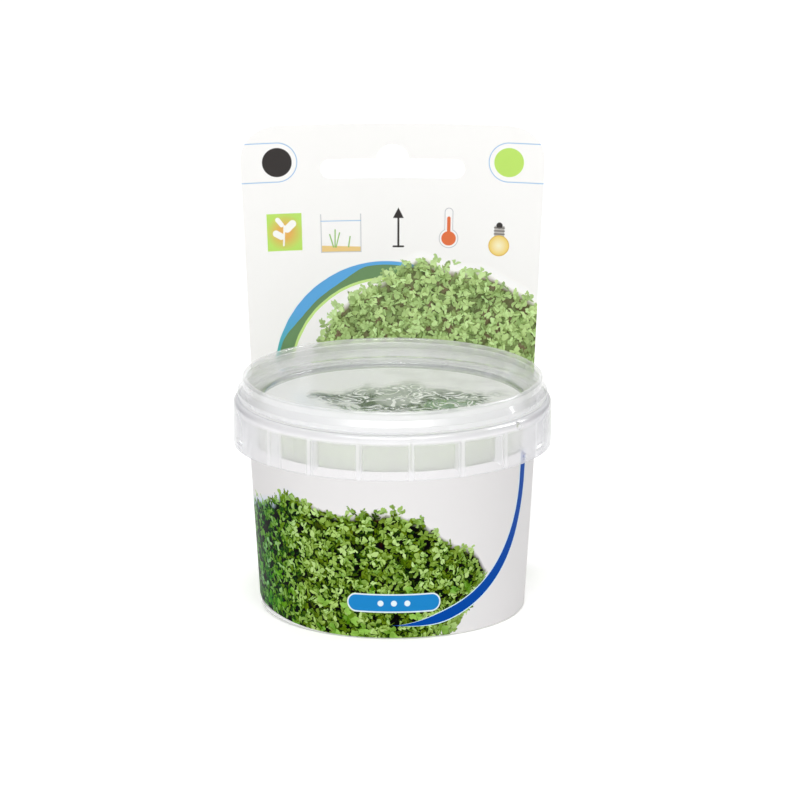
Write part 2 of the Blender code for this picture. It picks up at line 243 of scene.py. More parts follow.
plastic = {
    "tubColor": "#f5f4f7",
    "tubHaze": (0.28, 0.85),
    "rimHaze": (0.15, 0.35),
    "lidColor": "#fafafc",
    "lidHaze": (0.19, 0.25),
    "bandHaze": (0.42, 0.35),
    "thickHaze": 0.8,
    "shoulderFrom": (-0.9, -0.1),
    "finHaze": 0.62,
    "finLine": (1.25, 0.45),
    "finsUpTo": (-0.1, -0.7),
    "collarFrom": (0.3, 0.5),
    "collarUpTo": (0.3, 0.1),
    "rimFrom": (0.2, 0.6),
    "edgeOn": (0.2, 0.95),
    "facingBlend": 0.35,
    "paintedEdgeShade": "#a4a6b0",
    "edgeShadeRadii": (38.1, 38.5),
    "edgeShadeSlant": (0.3, 0.8),
    "bandRadii": (36.4, 36.9),
    "paintedCornerShade": "#8d9496",
    "cornerHaze": 0.5,
    "cornerRadii": (34.1, 33.8),
    "cornerHeights": (53.9, 53.6),
    "greenLight": "#bccb93",
    "wallFog": 0.5,
    "fogInside": (-0.7, -0.9),
    "fogFoot": (12.0, 16.0),
    "fogTop": (52.6, 52.0),
    "carried": 0.95,
    "roughness": 0.12,
    "coatRoughness": 0.04,
    "ior": 1.49,
    "rippleSize": 9.0,
    "rippleDepth": 0.1,
    "rippleStrength": 0.1,
}


# Injection moulded polypropylene, unpigmented: clear but milky, whiter where it is seen edge on, with a
# painted shade that greys its very outline, a soft gloss and the faint waviness of a moulded wall
def mouldedPolypropylene(name, color):
    p = plastic
    mat, shader = newMaterial(name, {
        "IOR": p["ior"],
        "Specular IOR Level": 1.0,
        "Roughness": p["roughness"],
        "Coat Weight": 1.0,
        "Coat Roughness": p["coatRoughness"],
    })
    place = addNode(mat, "TexCoord").outputs["Object"]
    facing = addNode(mat, "LayerWeight", p["facingBlend"]).outputs["Facing"]
    # Painted shade: the outermost wall turns grey where it is seen edge on
    outermost = ramp(mat, distanceFromAxis(mat, place)[1], *p["edgeShadeRadii"])
    outline = both(mat, outermost, ramp(mat, facing, *p["edgeShadeSlant"]))
    tone = tinted(mat, color, outline, p["paintedEdgeShade"])
    ripple = addNode(mat, "TexNoise", place, 1 / (p["rippleSize"] * mm), 2.0)
    bump = addNode(mat, "Bump", p["rippleStrength"], p["rippleDepth"] * mm)
    connect(mat, ripple, bump.inputs["Height"])
    connect(mat, bump, shader.inputs["Normal"])
    return mat, shader, place, facing, tone


# The milkiness scatters light onwards and swallows next to none, so what lies behind the wall stays well lit
def letLightThrough(mat, shader, haze):
    rays = addNode(mat, "LightPath").outputs
    lighting = addNode(mat, "Math ADD", rays["Is Shadow Ray"], rays["Is Diffuse Ray"], use_clamp=True)
    kept = ramp(mat, lighting, 0.0, 1.0, 1.0, 1 - plastic["carried"])
    connect(mat, both(mat, haze, kept), shader.inputs["Alpha"])


# The lid's walls: hazier in its outer band, with a thin line of painted shade at the corner where they meet
# the panel
def addLidHaze(mat, shader, place, facing, tone):
    p = plastic
    radius = distanceFromAxis(mat, place)[1]
    height = addNode(mat, "SeparateXYZ", place).outputs["Z"]
    walls = [ramp(mat, facing, *p["edgeOn"], *p[haze]) for haze in ("lidHaze", "bandHaze")]
    body = blend(mat, ramp(mat, radius, *p["bandRadii"]), *walls)
    # The corner's dark line is painted shade
    low = ramp(mat, height, *(h * mm for h in p["cornerHeights"]))
    corner = both(mat, ramp(mat, radius, *p["cornerRadii"]), low)
    connect(mat, tinted(mat, tone, corner, p["paintedCornerShade"]), shader.inputs["Base Color"])
    letLightThrough(mat, shader, blend(mat, corner, body, p["cornerHaze"]))


panel = {
    "haze": 0.3,
    "roughness": 0.2,
    "middleHeight": 52.75,
    "straightOn": 0.36,
    "edgeOn": (0.1, 0.7),
    "fogOnLeft": 1.0,
    "fogOnRight": 0.68,
    "fogAcross": (-22.0, 2.0),
    "fogPatchSize": 8.0,
    "fogPatches": 0.5,
    "fogColor": "#fcfcfd",
    "wetMiddle": (3.0, 1.5),
    "wetSize": (22.0, 14.0),
    "wetRagged": 1.2,
    "wetEdge": (1.65, 1.4),
    "wetTopHaze": 0.03,
    "frostMiddle": (0.6, 1.5),
    "frostSize": (5.0, 6.5),
    "frostEdge": (1.2, 0.7),
    "frostClear": 0.25,
    "poolMiddle": (15.0, -3.5),
    "poolSize": (6.5, 5.0),
    "poolEdge": (1.2, 0.9),
    "paintedPoolRefraction": "#869f8c",
    "rippleWidth": 6.0,
    "rippleBend": 1.2,
    "ripples": 3.6,
    "rippleDepth": 0.4,
    "rippleStrength": 0.4,
    "hollow": (0.3, 0.16),
    "crest": (0.36, 0.43),
    "openFrom": (13.0, 5.0),
    "paintedPlantRefraction": "#33473f",
    "waterColor": "#d2d8d7",
    "paintedCrestHighlight": "#fbfcfb",
    "openHaze": 0.92,
    "crestHaze": 0.96,
    "waterHaze": 0.5,
}


# The lid's panel is the same plastic with damp air settled under it: a pale fog, and a wet patch in the
# middle where the drops have run together in ripples. The green of the plants beneath the water is a painted
# refraction, and the white along its crests is a painted highlight.
def foggedPolypropylene():
    p = panel
    mat, shader = newMaterial("moulded polypropylene with condensation", {
        "IOR": plastic["ior"],
        "Roughness": p["roughness"],
    })
    place = addNode(mat, "TexCoord").outputs["Object"]
    flat = distanceFromAxis(mat, place)[0]
    sides = addNode(mat, "SeparateXYZ", flat).outputs
    height = addNode(mat, "SeparateXYZ", place).outputs["Z"]
    wetShare, frostShare, poolShare = (
        addNode(mat, "VectorMath LENGTH", inShares(mat, flat, p[part + "Middle"], p[part + "Size"]))
        for part in ("wet", "frost", "pool"))
    wobble = addNode(
        mat, "TexNoise", flat, 1 / p["rippleWidth"], 2.0, 0.5, 2.0, p["rippleBend"], noise_dimensions="2D")
    wave = addNode(mat, "Math PINGPONG", both(mat, wobble, p["ripples"]), 0.5)
    spread = addNode(mat, "TexNoise", flat, 1 / p["fogPatchSize"], 3.0, noise_dimensions="2D")
    wet = ramp(mat, addNode(mat, "Math MULTIPLY_ADD", spread, p["wetRagged"], wetShare), *p["wetEdge"])
    pool = both(mat, wet, ramp(mat, poolShare, *p["poolEdge"]))
    # Between the crests the water takes a painted dark green, the plants beneath seen through it, where it is
    # open; least in the frosted middle and far back
    hollow = both(mat, ramp(mat, wave, *p["hollow"]), ramp(mat, sides["Y"], *p["openFrom"]))
    clear = blend(mat, ramp(mat, frostShare, *p["frostEdge"]), 1.0, p["frostClear"])
    dark = both(mat, hollow, both(mat, wet, clear))
    crest = both(mat, ramp(mat, wave, *p["crest"]), wet)
    fog = ramp(mat, sides["X"], *p["fogAcross"], p["fogOnLeft"], p["fogOnRight"])
    cloud = addNode(mat, "Math MULTIPLY_ADD", spread, p["fogPatches"], fog, use_clamp=True)
    fog = addNode(mat, "Math SUBTRACT", cloud, p["fogPatches"] / 2)
    tone = p["fogColor"]
    # The water's greens are painted refraction of the plants beneath, and its white crests are painted
    # highlight
    for mask, color in ((wet, "waterColor"), (dark, "paintedPlantRefraction"), (pool, "paintedPoolRefraction"), (crest, "paintedCrestHighlight")):
        tone = tinted(mat, tone, mask, p[color])
    connect(mat, tone, shader.inputs["Base Color"])
    bump = addNode(mat, "Bump", p["rippleStrength"], p["rippleDepth"] * mm)
    connect(mat, both(mat, wave, wet), bump.inputs["Height"])
    connect(mat, bump, shader.inputs["Normal"])
    # Seen straight on, the fog is thin enough to show the plants; seen at a slant it is nearly white
    slant = ramp(mat, addNode(mat, "LayerWeight").outputs["Facing"], *p["edgeOn"], p["straightOn"], 1.0)
    under = addNode(mat, "Math LESS_THAN", height, p["middleHeight"] * mm)
    top = blend(mat, wet, p["haze"], p["wetTopHaze"])
    water = blend(mat, dark, blend(mat, crest, p["waterHaze"], p["crestHaze"]), p["openHaze"])
    below = blend(mat, wet, fog, water)
    letLightThrough(mat, shader, both(mat, slant, blend(mat, under, top, below)))
    return mat


# The tub

tub = {
    "footRadius": 33.2,
    "footHeight": 1.5,
    "footShoulder": 0.25,
    "footStraight": 0.9,
    "baseEdge": (32.9, 0.3),
    "baseFlatRadius": 32.2,
    "grooveRadii": (25.4, 28.4),
    "grooveDepth": 0.5,
    "grooveSlope": 0.3,
    "wallRadiusAtBase": 32.65,
    "wallTaper": 0.0635,
    "wallThickness": 0.9,
    "floorThickness": 1.3,
    "innerCorner": 3.0,
    "flareStart": 52.4,
    "rimTop": 56.6,
    "rimRadius": 37.1,
    "rimThickness": 0.95,
    "rimBeadBottom": 55.8,
    "rimEdge": 0.3,
    "collarRadius": 40.0,
    "collarThickness": 0.8,
    "collarBottom": 42.5,
    "collarCorner": 52.1,
    "collarTop": 53.75,
    "collarShoulderRadius": 38.75,
    "collarRoot": 0.4,
    "webThickness": 1.0,
    "finCount": 19,
    "finFirstAngle": -12.1,
    "finThickness": 0.65,
    "finBite": 0.4,
    "finFootAtWall": 44.15,
    "finFootAtSkirt": 42.8,
    "windows": ((67.8, 44.7, 5.2, 1.3), (-73.6, 44.7, 5.2, 1.3), (55.2, 44.1, 1.3, 1.3)),
    "windowRounding": 0.3,
    "tearNotchAngle": 51.6,
    "tearNotch": (2.4, 1.5, 0.6),
    "edgeRounding": 0.12,
}


def wallRadius(height):
    return tub["wallRadiusAtBase"] + tub["wallTaper"] * height


def tubProfile():
    t = tub
    cornerHeight = t["floorThickness"] + t["innerCorner"]
    cornerRadius = wallRadius(cornerHeight) - t["wallThickness"] - t["innerCorner"]
    webBottom = t["collarTop"] - t["webThickness"]
    skirtInside = t["collarRadius"] - t["collarThickness"]
    rimInside = t["rimRadius"] - t["rimThickness"]
    shoulder = t["collarRadius"] - t["collarShoulderRadius"]
    footTop = t["footHeight"] + t["footShoulder"]
    innerGroove, outerGroove = t["grooveRadii"]
    points = [(0, t["floorThickness"])]
    points += arcPoints((cornerRadius, cornerHeight), t["innerCorner"], -90, 0, 8)
    points += [
        (wallRadius(t["flareStart"]) - t["wallThickness"], t["flareStart"]),
        (rimInside, t["rimTop"] - t["rimEdge"]),
        (rimInside + t["rimEdge"], t["rimTop"]),
        (t["rimRadius"] - t["rimEdge"], t["rimTop"]),
        (t["rimRadius"], t["rimTop"] - t["rimEdge"]),
        (t["rimRadius"], t["rimBeadBottom"]),
        (t["rimRadius"] - t["rimEdge"], t["rimBeadBottom"] - t["rimEdge"]),
        (wallRadius(t["collarTop"]) + t["collarRoot"], t["collarTop"]),
    ]
    for across, upward in arcPoints((0, 0), 1, 90, 0, 8):
        points.append((
            t["collarShoulderRadius"] + shoulder * across,
            t["collarCorner"] + (t["collarTop"] - t["collarCorner"]) * upward,
        ))
    points += [
        (t["collarRadius"], t["collarBottom"]),
        (skirtInside, t["collarBottom"]),
        (skirtInside, webBottom),
        (wallRadius(webBottom), webBottom),
        (wallRadius(footTop), footTop),
        (t["footRadius"], t["footHeight"]),
        (t["footRadius"], t["footStraight"]),
        t["baseEdge"],
        (t["baseFlatRadius"], 0),
        (outerGroove + t["grooveSlope"], 0),
        (outerGroove, t["grooveDepth"]),
        (innerGroove, t["grooveDepth"]),
        (innerGroove - t["grooveSlope"], 0),
        (0, 0),
    ]
    return points


def makeFins():
    t = tub
    inside = wallRadius(t["finFootAtWall"]) - t["finBite"]
    outside = t["collarRadius"] - t["collarThickness"] / 2
    top = t["collarTop"] - t["webThickness"] / 2
    foot = t["finFootAtWall"]
    size = (outside - inside, t["finThickness"], top - foot)
    fin = blockAt("fin", size, ((inside + outside) / 2, 0, (top + foot) / 2))
    for corner in fin.data.vertices:
        if corner.co.x > (inside + 1) * mm and corner.co.z < (foot + 1) * mm:
            corner.co.z = t["finFootAtSkirt"] * mm
    fins = []
    for i in range(t["finCount"]):
        selectOnly(fin)
        bpy.ops.object.duplicate()
        fins.append(bpy.context.object)
        standAt(fins[-1], t["finFirstAngle"] + 360 * i / t["finCount"])
    bpy.data.objects.remove(fin)
    return joined(fins, "fins")


# The same plastic is whiter along the collar's fins, where it is five millimetres deep, and at its shoulder
def addCollarHaze(mat, shader, place, facing, tone):
    t, p = tub, plastic
    radius = distanceFromAxis(mat, place)[1]
    sides = addNode(mat, "SeparateXYZ", place).outputs

    def between(heights, above=0.0):
        return ramp(mat, sides["Z"], *((above + h) * mm for h in heights))

    def outwards(radii):
        return ramp(mat, radius, *(wallRadius(t["collarTop"]) + r for r in radii))

    angle = addNode(mat, "Math ARCTAN2", sides["X"], both(mat, sides["Y"], -1.0))
    step = math.radians(360 / t["finCount"])
    firstFin = t["finCount"] + 0.5 - math.radians(t["finFirstAngle"]) / step
    turns = addNode(mat, "Math MULTIPLY_ADD", angle, 1 / step, firstFin)
    off = addNode(mat, "Math SUBTRACT", addNode(mat, "Math FRACT", turns), 0.5)
    away = addNode(mat, "Math ABSOLUTE", off)
    width = t["finThickness"] / (step * t["collarRadius"])
    onCollar = both(mat, outwards(p["collarFrom"]), between(p["collarUpTo"], t["collarTop"]))
    nearFin = ramp(mat, away, *(share * width for share in p["finLine"]))
    finLine = both(mat, nearFin, between(p["finsUpTo"], t["collarCorner"]))
    shoulder = between(p["shoulderFrom"], t["collarCorner"])
    rim = between(p["rimFrom"], t["collarTop"])
    hazes = (blend(mat, rim, *pair) for pair in zip(p["tubHaze"], p["rimHaze"]))
    wall = ramp(mat, facing, *p["edgeOn"], *hazes)
    lined = blend(mat, both(mat, finLine, onCollar), wall, p["finHaze"])
    haze = blend(mat, both(mat, shoulder, onCollar), lined, p["thickHaze"])
    # Light that has been among the leaves tints the inside of the wall, fogged from the gel up to the lid
    fogged = both(mat, between(p["fogFoot"]), between(p["fogTop"]))
    inner = both(mat, fogged, outwards(p["fogInside"]))
    connect(mat, tinted(mat, tone, inner, p["greenLight"]), shader.inputs["Base Color"])
    letLightThrough(mat, shader, blend(mat, inner, haze, p["wallFog"]))


def makeTub():
    t = tub
    piece = turned("cultureTub", tubProfile())
    boolean(piece, "UNION", makeFins())
    middle = t["collarRadius"] - t["collarThickness"] / 2
    for angle, height, width, tall in t["windows"]:
        cutter = blockAt("opening", (t["collarThickness"] * 2.5, width, tall), (middle, 0, height))
        roundEdges(cutter, t["windowRounding"], 3, 60)
        standAt(cutter, angle)
        boolean(piece, "DIFFERENCE", cutter)
    length, size, depth = t["tearNotch"]
    notchHeight = t["collarCorner"] + size / math.sqrt(2) - depth
    notch = blockAt(
        "notch", (length, size, size), (t["collarRadius"], 0, notchHeight), (math.radians(45), 0, 0))
    standAt(notch, t["tearNotchAngle"])
    boolean(piece, "DIFFERENCE", notch)
    roundEdges(piece, t["edgeRounding"], 2, 50)
    smooth(piece)
    parts = mouldedPolypropylene("moulded polypropylene tub", plastic["tubColor"])
    addCollarHaze(*parts)
    coat(piece, parts[0])
    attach(piece, "root")
    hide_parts("tub")
    return piece


tubPiece = makeTub()
print("tub ready:", len(tubPiece.data.polygons), "faces")


# The lid

lid = {
    "thickness": 0.75,
    "panelRadius": 33.2,
    "panelTop": 53.1,
    "innerEdge": (36.3, 59.0),
    "crownHeight": 59.4,
    "crownRadius": 37.8,
    "crownRound": 0.7,
    "waist": (37.75, 57.3),
    "lipRadius": 38.9,
    "lipTop": 55.7,
    "lipBottom": 54.15,
    "lipThickness": 0.9,
    "lipInsideTop": 55.3,
    "gripRadius": 37.45,
    "fillet": 0.4,
    "edgeRounding": 0.18,
}


def lidWall(height, outward=0.0):
    run = (lid["innerEdge"][0] - lid["panelRadius"]) / (lid["innerEdge"][1] - lid["panelTop"])
    return lid["panelRadius"] + (height - lid["panelTop"]) * run + outward * math.hypot(1, run)


def lidProfile():
    d = lid
    panelBottom = d["panelTop"] - d["thickness"]
    hollowTop = d["crownHeight"] - d["thickness"] - d["fillet"]
    crownMiddle = (d["crownRadius"] - d["crownRound"], d["crownHeight"] - d["crownRound"])
    points = [
        (0, d["panelTop"]),
        (d["panelRadius"] - d["fillet"], d["panelTop"]),
        (lidWall(d["panelTop"] + d["fillet"]), d["panelTop"] + d["fillet"]),
        d["innerEdge"],
        (d["innerEdge"][0] + d["fillet"], d["crownHeight"]),
    ]
    points += arcPoints(crownMiddle, d["crownRound"], 90, 0, 6)
    points += [
        d["waist"],
        (d["lipRadius"], d["lipTop"]),
        (d["lipRadius"], d["lipBottom"] + d["fillet"]),
        (d["lipRadius"] - d["fillet"], d["lipBottom"]),
        (d["lipRadius"] - d["lipThickness"], d["lipBottom"]),
        (d["lipRadius"] - d["lipThickness"], d["lipInsideTop"]),
        (d["gripRadius"], tub["rimTop"]),
        (d["crownRadius"] - d["thickness"], hollowTop),
        (lidWall(hollowTop, d["thickness"]), hollowTop),
        (lidWall(panelBottom + d["fillet"], d["thickness"]), panelBottom + d["fillet"]),
        (d["panelRadius"], panelBottom),
        (0, panelBottom),
    ]
    return points


def makeLid():
    piece = turned("snapLid", lidProfile())
    roundEdges(piece, lid["edgeRounding"], 3, 20)
    smooth(piece)
    parts = mouldedPolypropylene("moulded polypropylene lid", plastic["lidColor"])
    addLidHaze(*parts)
    coat(piece, parts[0], foggedPolypropylene())
    for face in piece.data.polygons:
        reach = max(math.hypot(*piece.data.vertices[i].co.xy) for i in face.vertices)
        onPanel = reach < lid["panelRadius"] * mm and abs(face.normal.z) > 0.9
        face.material_index = 1 if onPanel else 0
    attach(piece, "root")
    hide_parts("lid")
    return piece


lidPiece = makeLid()
print("lid ready:", len(lidPiece.data.polygons), "faces")


# Printed foliage, shared by the label and the card. The picture is laid in layers, the dark ones first. A
# layer is a field of cells with one tuft of leaves in each, and a tuft is kept or dropped whole, so the
# picture's edge is leafy.

# The usual values of every layer. The picture's own and then the layer's own go before them.
foliageRules = {
    "ceiling": 200,
    "tilt": 2.3,
    "fold": 0.1,
    "shortest": 0.6,
    "shadowReach": (1.25, 0.35),
    "tipLight": 0.5,
    "tuftLight": 0.5,
    "clumpLight": (0.35, 0.65, -0.85, -0.15),
    "warmth": 0.22,
    "patchSize": 6.0,
    "brown": (0.48, 0.62),
    "darkEdge": (3.0, 5.0),
    "deepEdge": (2.2, 5.0),
    "softEdge": (0.5, 3.5),
}
# What a layer's row gives. The last two are left out where they are as usual.
layerTerms = ("cell", "length", "dark", "light", "share", "depth", "hollow", "leaves", "ceiling", "softness")


def printedPlace(mat):
    # Where a point of the print lies: millimetres across and up
    return addNode(mat, "VectorMath SCALE", addNode(mat, "UVMap", uv_map="printPlace"), uvUnit)


# A place's two numbers, the height of the foliage's top edge over it, from a few listed points, and the
# foliage's lower right end at its height
def bankEdges(mat, place, picture):
    spot = addNode(mat, "SeparateXYZ", place).outputs
    bank, tall = picture["bank"], picture["tall"]
    first, last = bank[0][0], bank[-1][0]
    curve = addNode(mat, "FloatCurve", 1.0, ramp(mat, spot["X"], first, last))
    points = curve.mapping.curves[0].points
    corners = [((x - first) / (last - first), max(y, 0) / tall) for x, y in bank]
    points[0].location, points[1].location = corners[0], corners[-1]
    for corner in corners[1:-1]:
        points.new(*corner)
    curve.mapping.update()
    end = addNode(mat, "Math MULTIPLY_ADD", spot["Y"], picture["endSlope"], picture["endFoot"])
    return spot["X"], spot["Y"], both(mat, curve, tall), end


# 1 for a leaf whose middle lies under the top edge, inside the picture's lower right end and in no hollow
def leafKept(mat, centre, chance, picture, layer):
    x, y, top, end = bankEdges(mat, centre, picture)
    lifted = addNode(mat, "Math MULTIPLY_ADD", chance, picture["ragged"], y)
    room = addNode(mat, "Math SUBTRACT", top, lifted)
    clumps = addNode(mat, "TexNoise", centre, 1 / picture["clumpSize"], 2.0, noise_dimensions="2D")
    kept = 1.0
    for less, more in (
            (layer["depth"], room), (x, end), (chance, layer["share"]), (y, layer["ceiling"]),
            (layer["hollow"], clumps)):
        kept = both(mat, kept, addNode(mat, "Math LESS_THAN", less, more))
    return kept, clumps


def leafLayer(mat, place, below, deep, picture, layer):
    shift = (layer["shift"] * 3.7, layer["shift"] * 2.3, 0)
    moved = addNode(mat, "VectorMath ADD", place, shift)
    cells = addNode(mat, "TexVoronoi", moved, 1 / layer["cell"], voronoi_dimensions="2D")
    position = cells.outputs["Position"]
    centre = addNode(mat, "VectorMath SUBTRACT", position, shift)
    dice = addNode(mat, "SeparateColor", cells.outputs["Color"]).outputs
    moreDice = addNode(mat, "TexWhiteNoise", position, noise_dimensions="2D")
    present, clump = leafKept(mat, centre, dice["Green"], picture, layer)
    # The tuft's own directions, turned at random and foreshortened at random
    local = addNode(mat, "VectorMath SUBTRACT", moved, position)
    angle = both(mat, dice["Red"], 2 * math.pi)
    aligned = addNode(mat, "VectorRotate", local, (0, 0, 0), angle, rotation_type="Z_AXIS")
    squash = addNode(mat, "CombineXYZ", 1.0, ramp(mat, moreDice, 0.0, 1.0, layer["tilt"], 1.0))
    spread = addNode(mat, "VectorMath MULTIPLY", aligned, squash)
    reach = addNode(mat, "VectorMath LENGTH", spread)
    sides = addNode(mat, "SeparateXYZ", spread).outputs
    way = addNode(mat, "Math ARCTAN2", sides["Y"], sides["X"])
    # The leaves stand round the tuft's middle: each has its axis where the cosine is 1 or -1
    phase = both(mat, way, layer["leaves"] / 2)
    onAxis = addNode(mat, "Math ABSOLUTE", addNode(mat, "Math COSINE", phase))
    outline = addNode(mat, "Math POWER", onAxis, layer["narrow"])
    whole = addNode(mat, "Math FLOOR", addNode(mat, "Math MULTIPLY_ADD", phase, 1 / math.pi, 0.5))
    number = addNode(mat, "Math FLOORED_MODULO", whole, layer["leaves"])
    leafSeed = addNode(mat, "VectorMath ADD", position, number)
    leafDice = addNode(mat, "TexWhiteNoise", leafSeed, noise_dimensions="2D")
    longest = ramp(mat, leafDice, 0.0, 1.0, layer["length"] * layer["shortest"], layer["length"])
    inside = addNode(mat, "Math SUBTRACT", both(mat, longest, outline), reach)
    leaf = ramp(mat, inside, 0.0, layer["softness"], 0.0, present, "SMOOTHSTEP")
    shadowReach = (layer["length"] * share for share in layer["shadowReach"])
    shadow = ramp(mat, reach, *shadowReach, 0.0, both(mat, present, deep), "SMOOTHSTEP")
    shaded = tinted(mat, below, shadow, picture["shadow"], "MULTIPLY")
    # Lighter towards its tip and on one side of its rib, each leaf and tuft a little different
    rib = addNode(mat, "Math SIGN", addNode(mat, "Math SINE", both(mat, phase, 2.0)))
    light = addNode(mat, "Math MULTIPLY_ADD", rib, layer["fold"], leafDice)
    light = addNode(mat, "Math MULTIPLY_ADD", reach, layer["tipLight"] / layer["length"], light)
    light = addNode(mat, "Math MULTIPLY_ADD", dice["Blue"], layer["tuftLight"], light)
    clumpLight = addNode(mat, "MapRange", clump, *layer["clumpLight"], clamp=False)
    tone = addNode(mat, "Math ADD", light, clumpLight, use_clamp=True)
    warmth = both(mat, moreDice, layer["warmth"])
    color = tinted(mat, tinted(mat, layer["dark"], tone, layer["light"]), warmth, picture["warmColor"])
    return tinted(mat, shaded, leaf, color)


# Paints the whole bank of foliage, and also gives a mask that fades out at the bank's edge
def foliage(mat, place, ground, picture, layers):
    rules = foliageRules
    x, y, top, end = bankEdges(mat, place, picture)
    room, before = addNode(mat, "Math SUBTRACT", top, y), addNode(mat, "Math SUBTRACT", end, x)
    inside = addNode(mat, "Math MINIMUM", room, before)
    # The depth of the bank, dark behind every leaf and brown in places
    patches = addNode(mat, "TexNoise", place, 1 / rules["patchSize"], noise_dimensions="2D")
    depth = tinted(mat, picture["depthColor"], ramp(mat, patches, *rules["brown"]), picture["brownColor"])
    painted = tinted(mat, ground, ramp(mat, inside, *rules["darkEdge"]), depth)
    deep = ramp(mat, inside, *rules["deepEdge"])
    # No leaf is quite regular, so the picture is pulled about a little
    pull = addNode(mat, "TexNoise", place, 1 / picture["pullSize"], 3.0, noise_dimensions="2D")
    reach = (picture["pull"], picture["pull"], 0)
    pulled = addNode(mat, "VectorMath MULTIPLY_ADD", pull.outputs["Color"], reach, place)
    for number, row in enumerate(layers):
        layer = {**rules, **picture, **dict(zip(layerTerms, row)), "shift": picture["shift"] + 17 * number}
        painted = leafLayer(mat, pulled, painted, deep, picture, layer)
    return painted, ramp(mat, inside, *rules["softEdge"])


# Plain printed marks: a stroke is a line with round ends, or a disc when both ends are one point, and a plate
# is a shape with straight sides, its corners counted anticlockwise
def strokeMask(mat, place, start, end, radius, blur=printBlur):
    away = addNode(mat, "VectorMath SUBTRACT", place, (*start, 0))
    run = Vector((end[0] - start[0], end[1] - start[1], 0))
    if run.length > 0:
        along = addNode(mat, "VectorMath DOT_PRODUCT", away, run / run.length_squared)
        nearest = addNode(mat, "VectorMath SCALE", run, addNode(mat, "Clamp", along))
        away = addNode(mat, "VectorMath SUBTRACT", away, nearest)
    return ramp(mat, addNode(mat, "VectorMath LENGTH", away), radius + blur, radius - blur)


def plateMask(mat, place, corners):
    depth = None
    for (x0, y0), (x1, y1) in zip(corners, corners[1:] + corners[:1]):
        inward = Vector((y0 - y1, x1 - x0, 0)).normalized()
        side = addNode(mat, "VectorMath DOT_PRODUCT", place, inward)
        inside = addNode(mat, "Math SUBTRACT", side, inward.x * x0 + inward.y * y0)
        depth = inside if depth is None else addNode(mat, "Math MINIMUM", depth, inside)
    return ramp(mat, depth, -printBlur, printBlur)


# The label's print

label = {
    "gap": 0.3,
    "thickness": 0.3,
    "bottom": 0.35,
    "top": 43.7,
    "footGap": 0.03,
    "footThickness": 0.15,
    "leftRise": 2.6,
    "steps": 192,
    "meanRadius": 34.6,
    "ground": "#eae8e8",
    "bank": (
        (-109, 0), (-98, 4), (-86, 14), (-72, 23), (-60, 27), (-50, 30), (-43, 32), (-35, 34), (-28, 37.5),
        (-21, 36.5), (-12, 35), (-4, 36), (3, 35), (10, 31.5), (15, 27.5), (20, 25.5), (25, 20), (28, 14),
        (31, 5), (35, 0), (109, 0),
    ),
    "tall": 50,
    "ragged": 3.5,
    "endFoot": 14.0,
    "endSlope": 1.0,
    "clumpSize": 4.5,
    "softness": 0.2,
    "narrow": 0.75,
    "shadow": "#a5b081",
    "depthColor": "#1b2b08",
    "brownColor": "#3a2f14",
    "warmColor": "#98a34a",
    "pull": 2.0,
    "pullSize": 1.8,
    "contrast": 0.05,
    "leftShade": "#b8cfe8",
    "leftShadeFrom": (-22.0, -40.0),
    "leftShadeTo": (-66.0, -52.0),
    "leftBright": 0.1,
    "leftContrast": 0.42,
    "shift": 11,
    "stripeMiddle": (1.0, 37.0),
    "stripeReach": (38.4, 33.4),
    "stripeHalfWidth": 1.55,
    "stripeRimWidth": 0.3,
    "stripeRimFrom": (0.0, 0.3),
    "stripeSwell": (-0.05, 0.38),
    "stripeSlim": (-0.6, -0.2, 1.0, 0.83),
    "stripeColor": "#0049a8",
    "stripeRim": "#d3eefb",
    "pillMiddle": (0.4, 9.4),
    "pillReach": 9.6,
    "pillRadius": 2.1,
    "pillRimWidth": 0.35,
    "pillColor": "#1f86cb",
    "pillWhite": "#e9f5fb",
    "dotRadius": 0.75,
    "dotSpacing": 3.4,
    "gloss": {"Roughness": 0.38, "IOR": 1.49, "Specular IOR Level": 0.03},
}
labelLeaves = (
    (2.4, 2.3, "#1b2c05", "#475f1b", 1.0, 1.4, 0.0, 4),
    (2.5, 2.2, "#34490f", "#6a8733", 0.9, 1.0, 0.27, 3),
    (2.5, 2.1, "#4c6a22", "#89a950", 0.85, 0.6, 0.3, 4),
    (2.6, 2.1, "#628436", "#a1c269", 0.8, 0.3, 0.34, 3),
    (2.6, 2.0, "#749946", "#b3d47d", 0.7, 0.0, 0.37, 4),
    (2.8, 1.9, "#83aa55", "#c3e194", 0.5, -0.4, 0.4, 3),
    (3.4, 2.8, "#4e8029", "#98cb62", 0.5, 5, 0.4, 3, 15, 0.16),
)


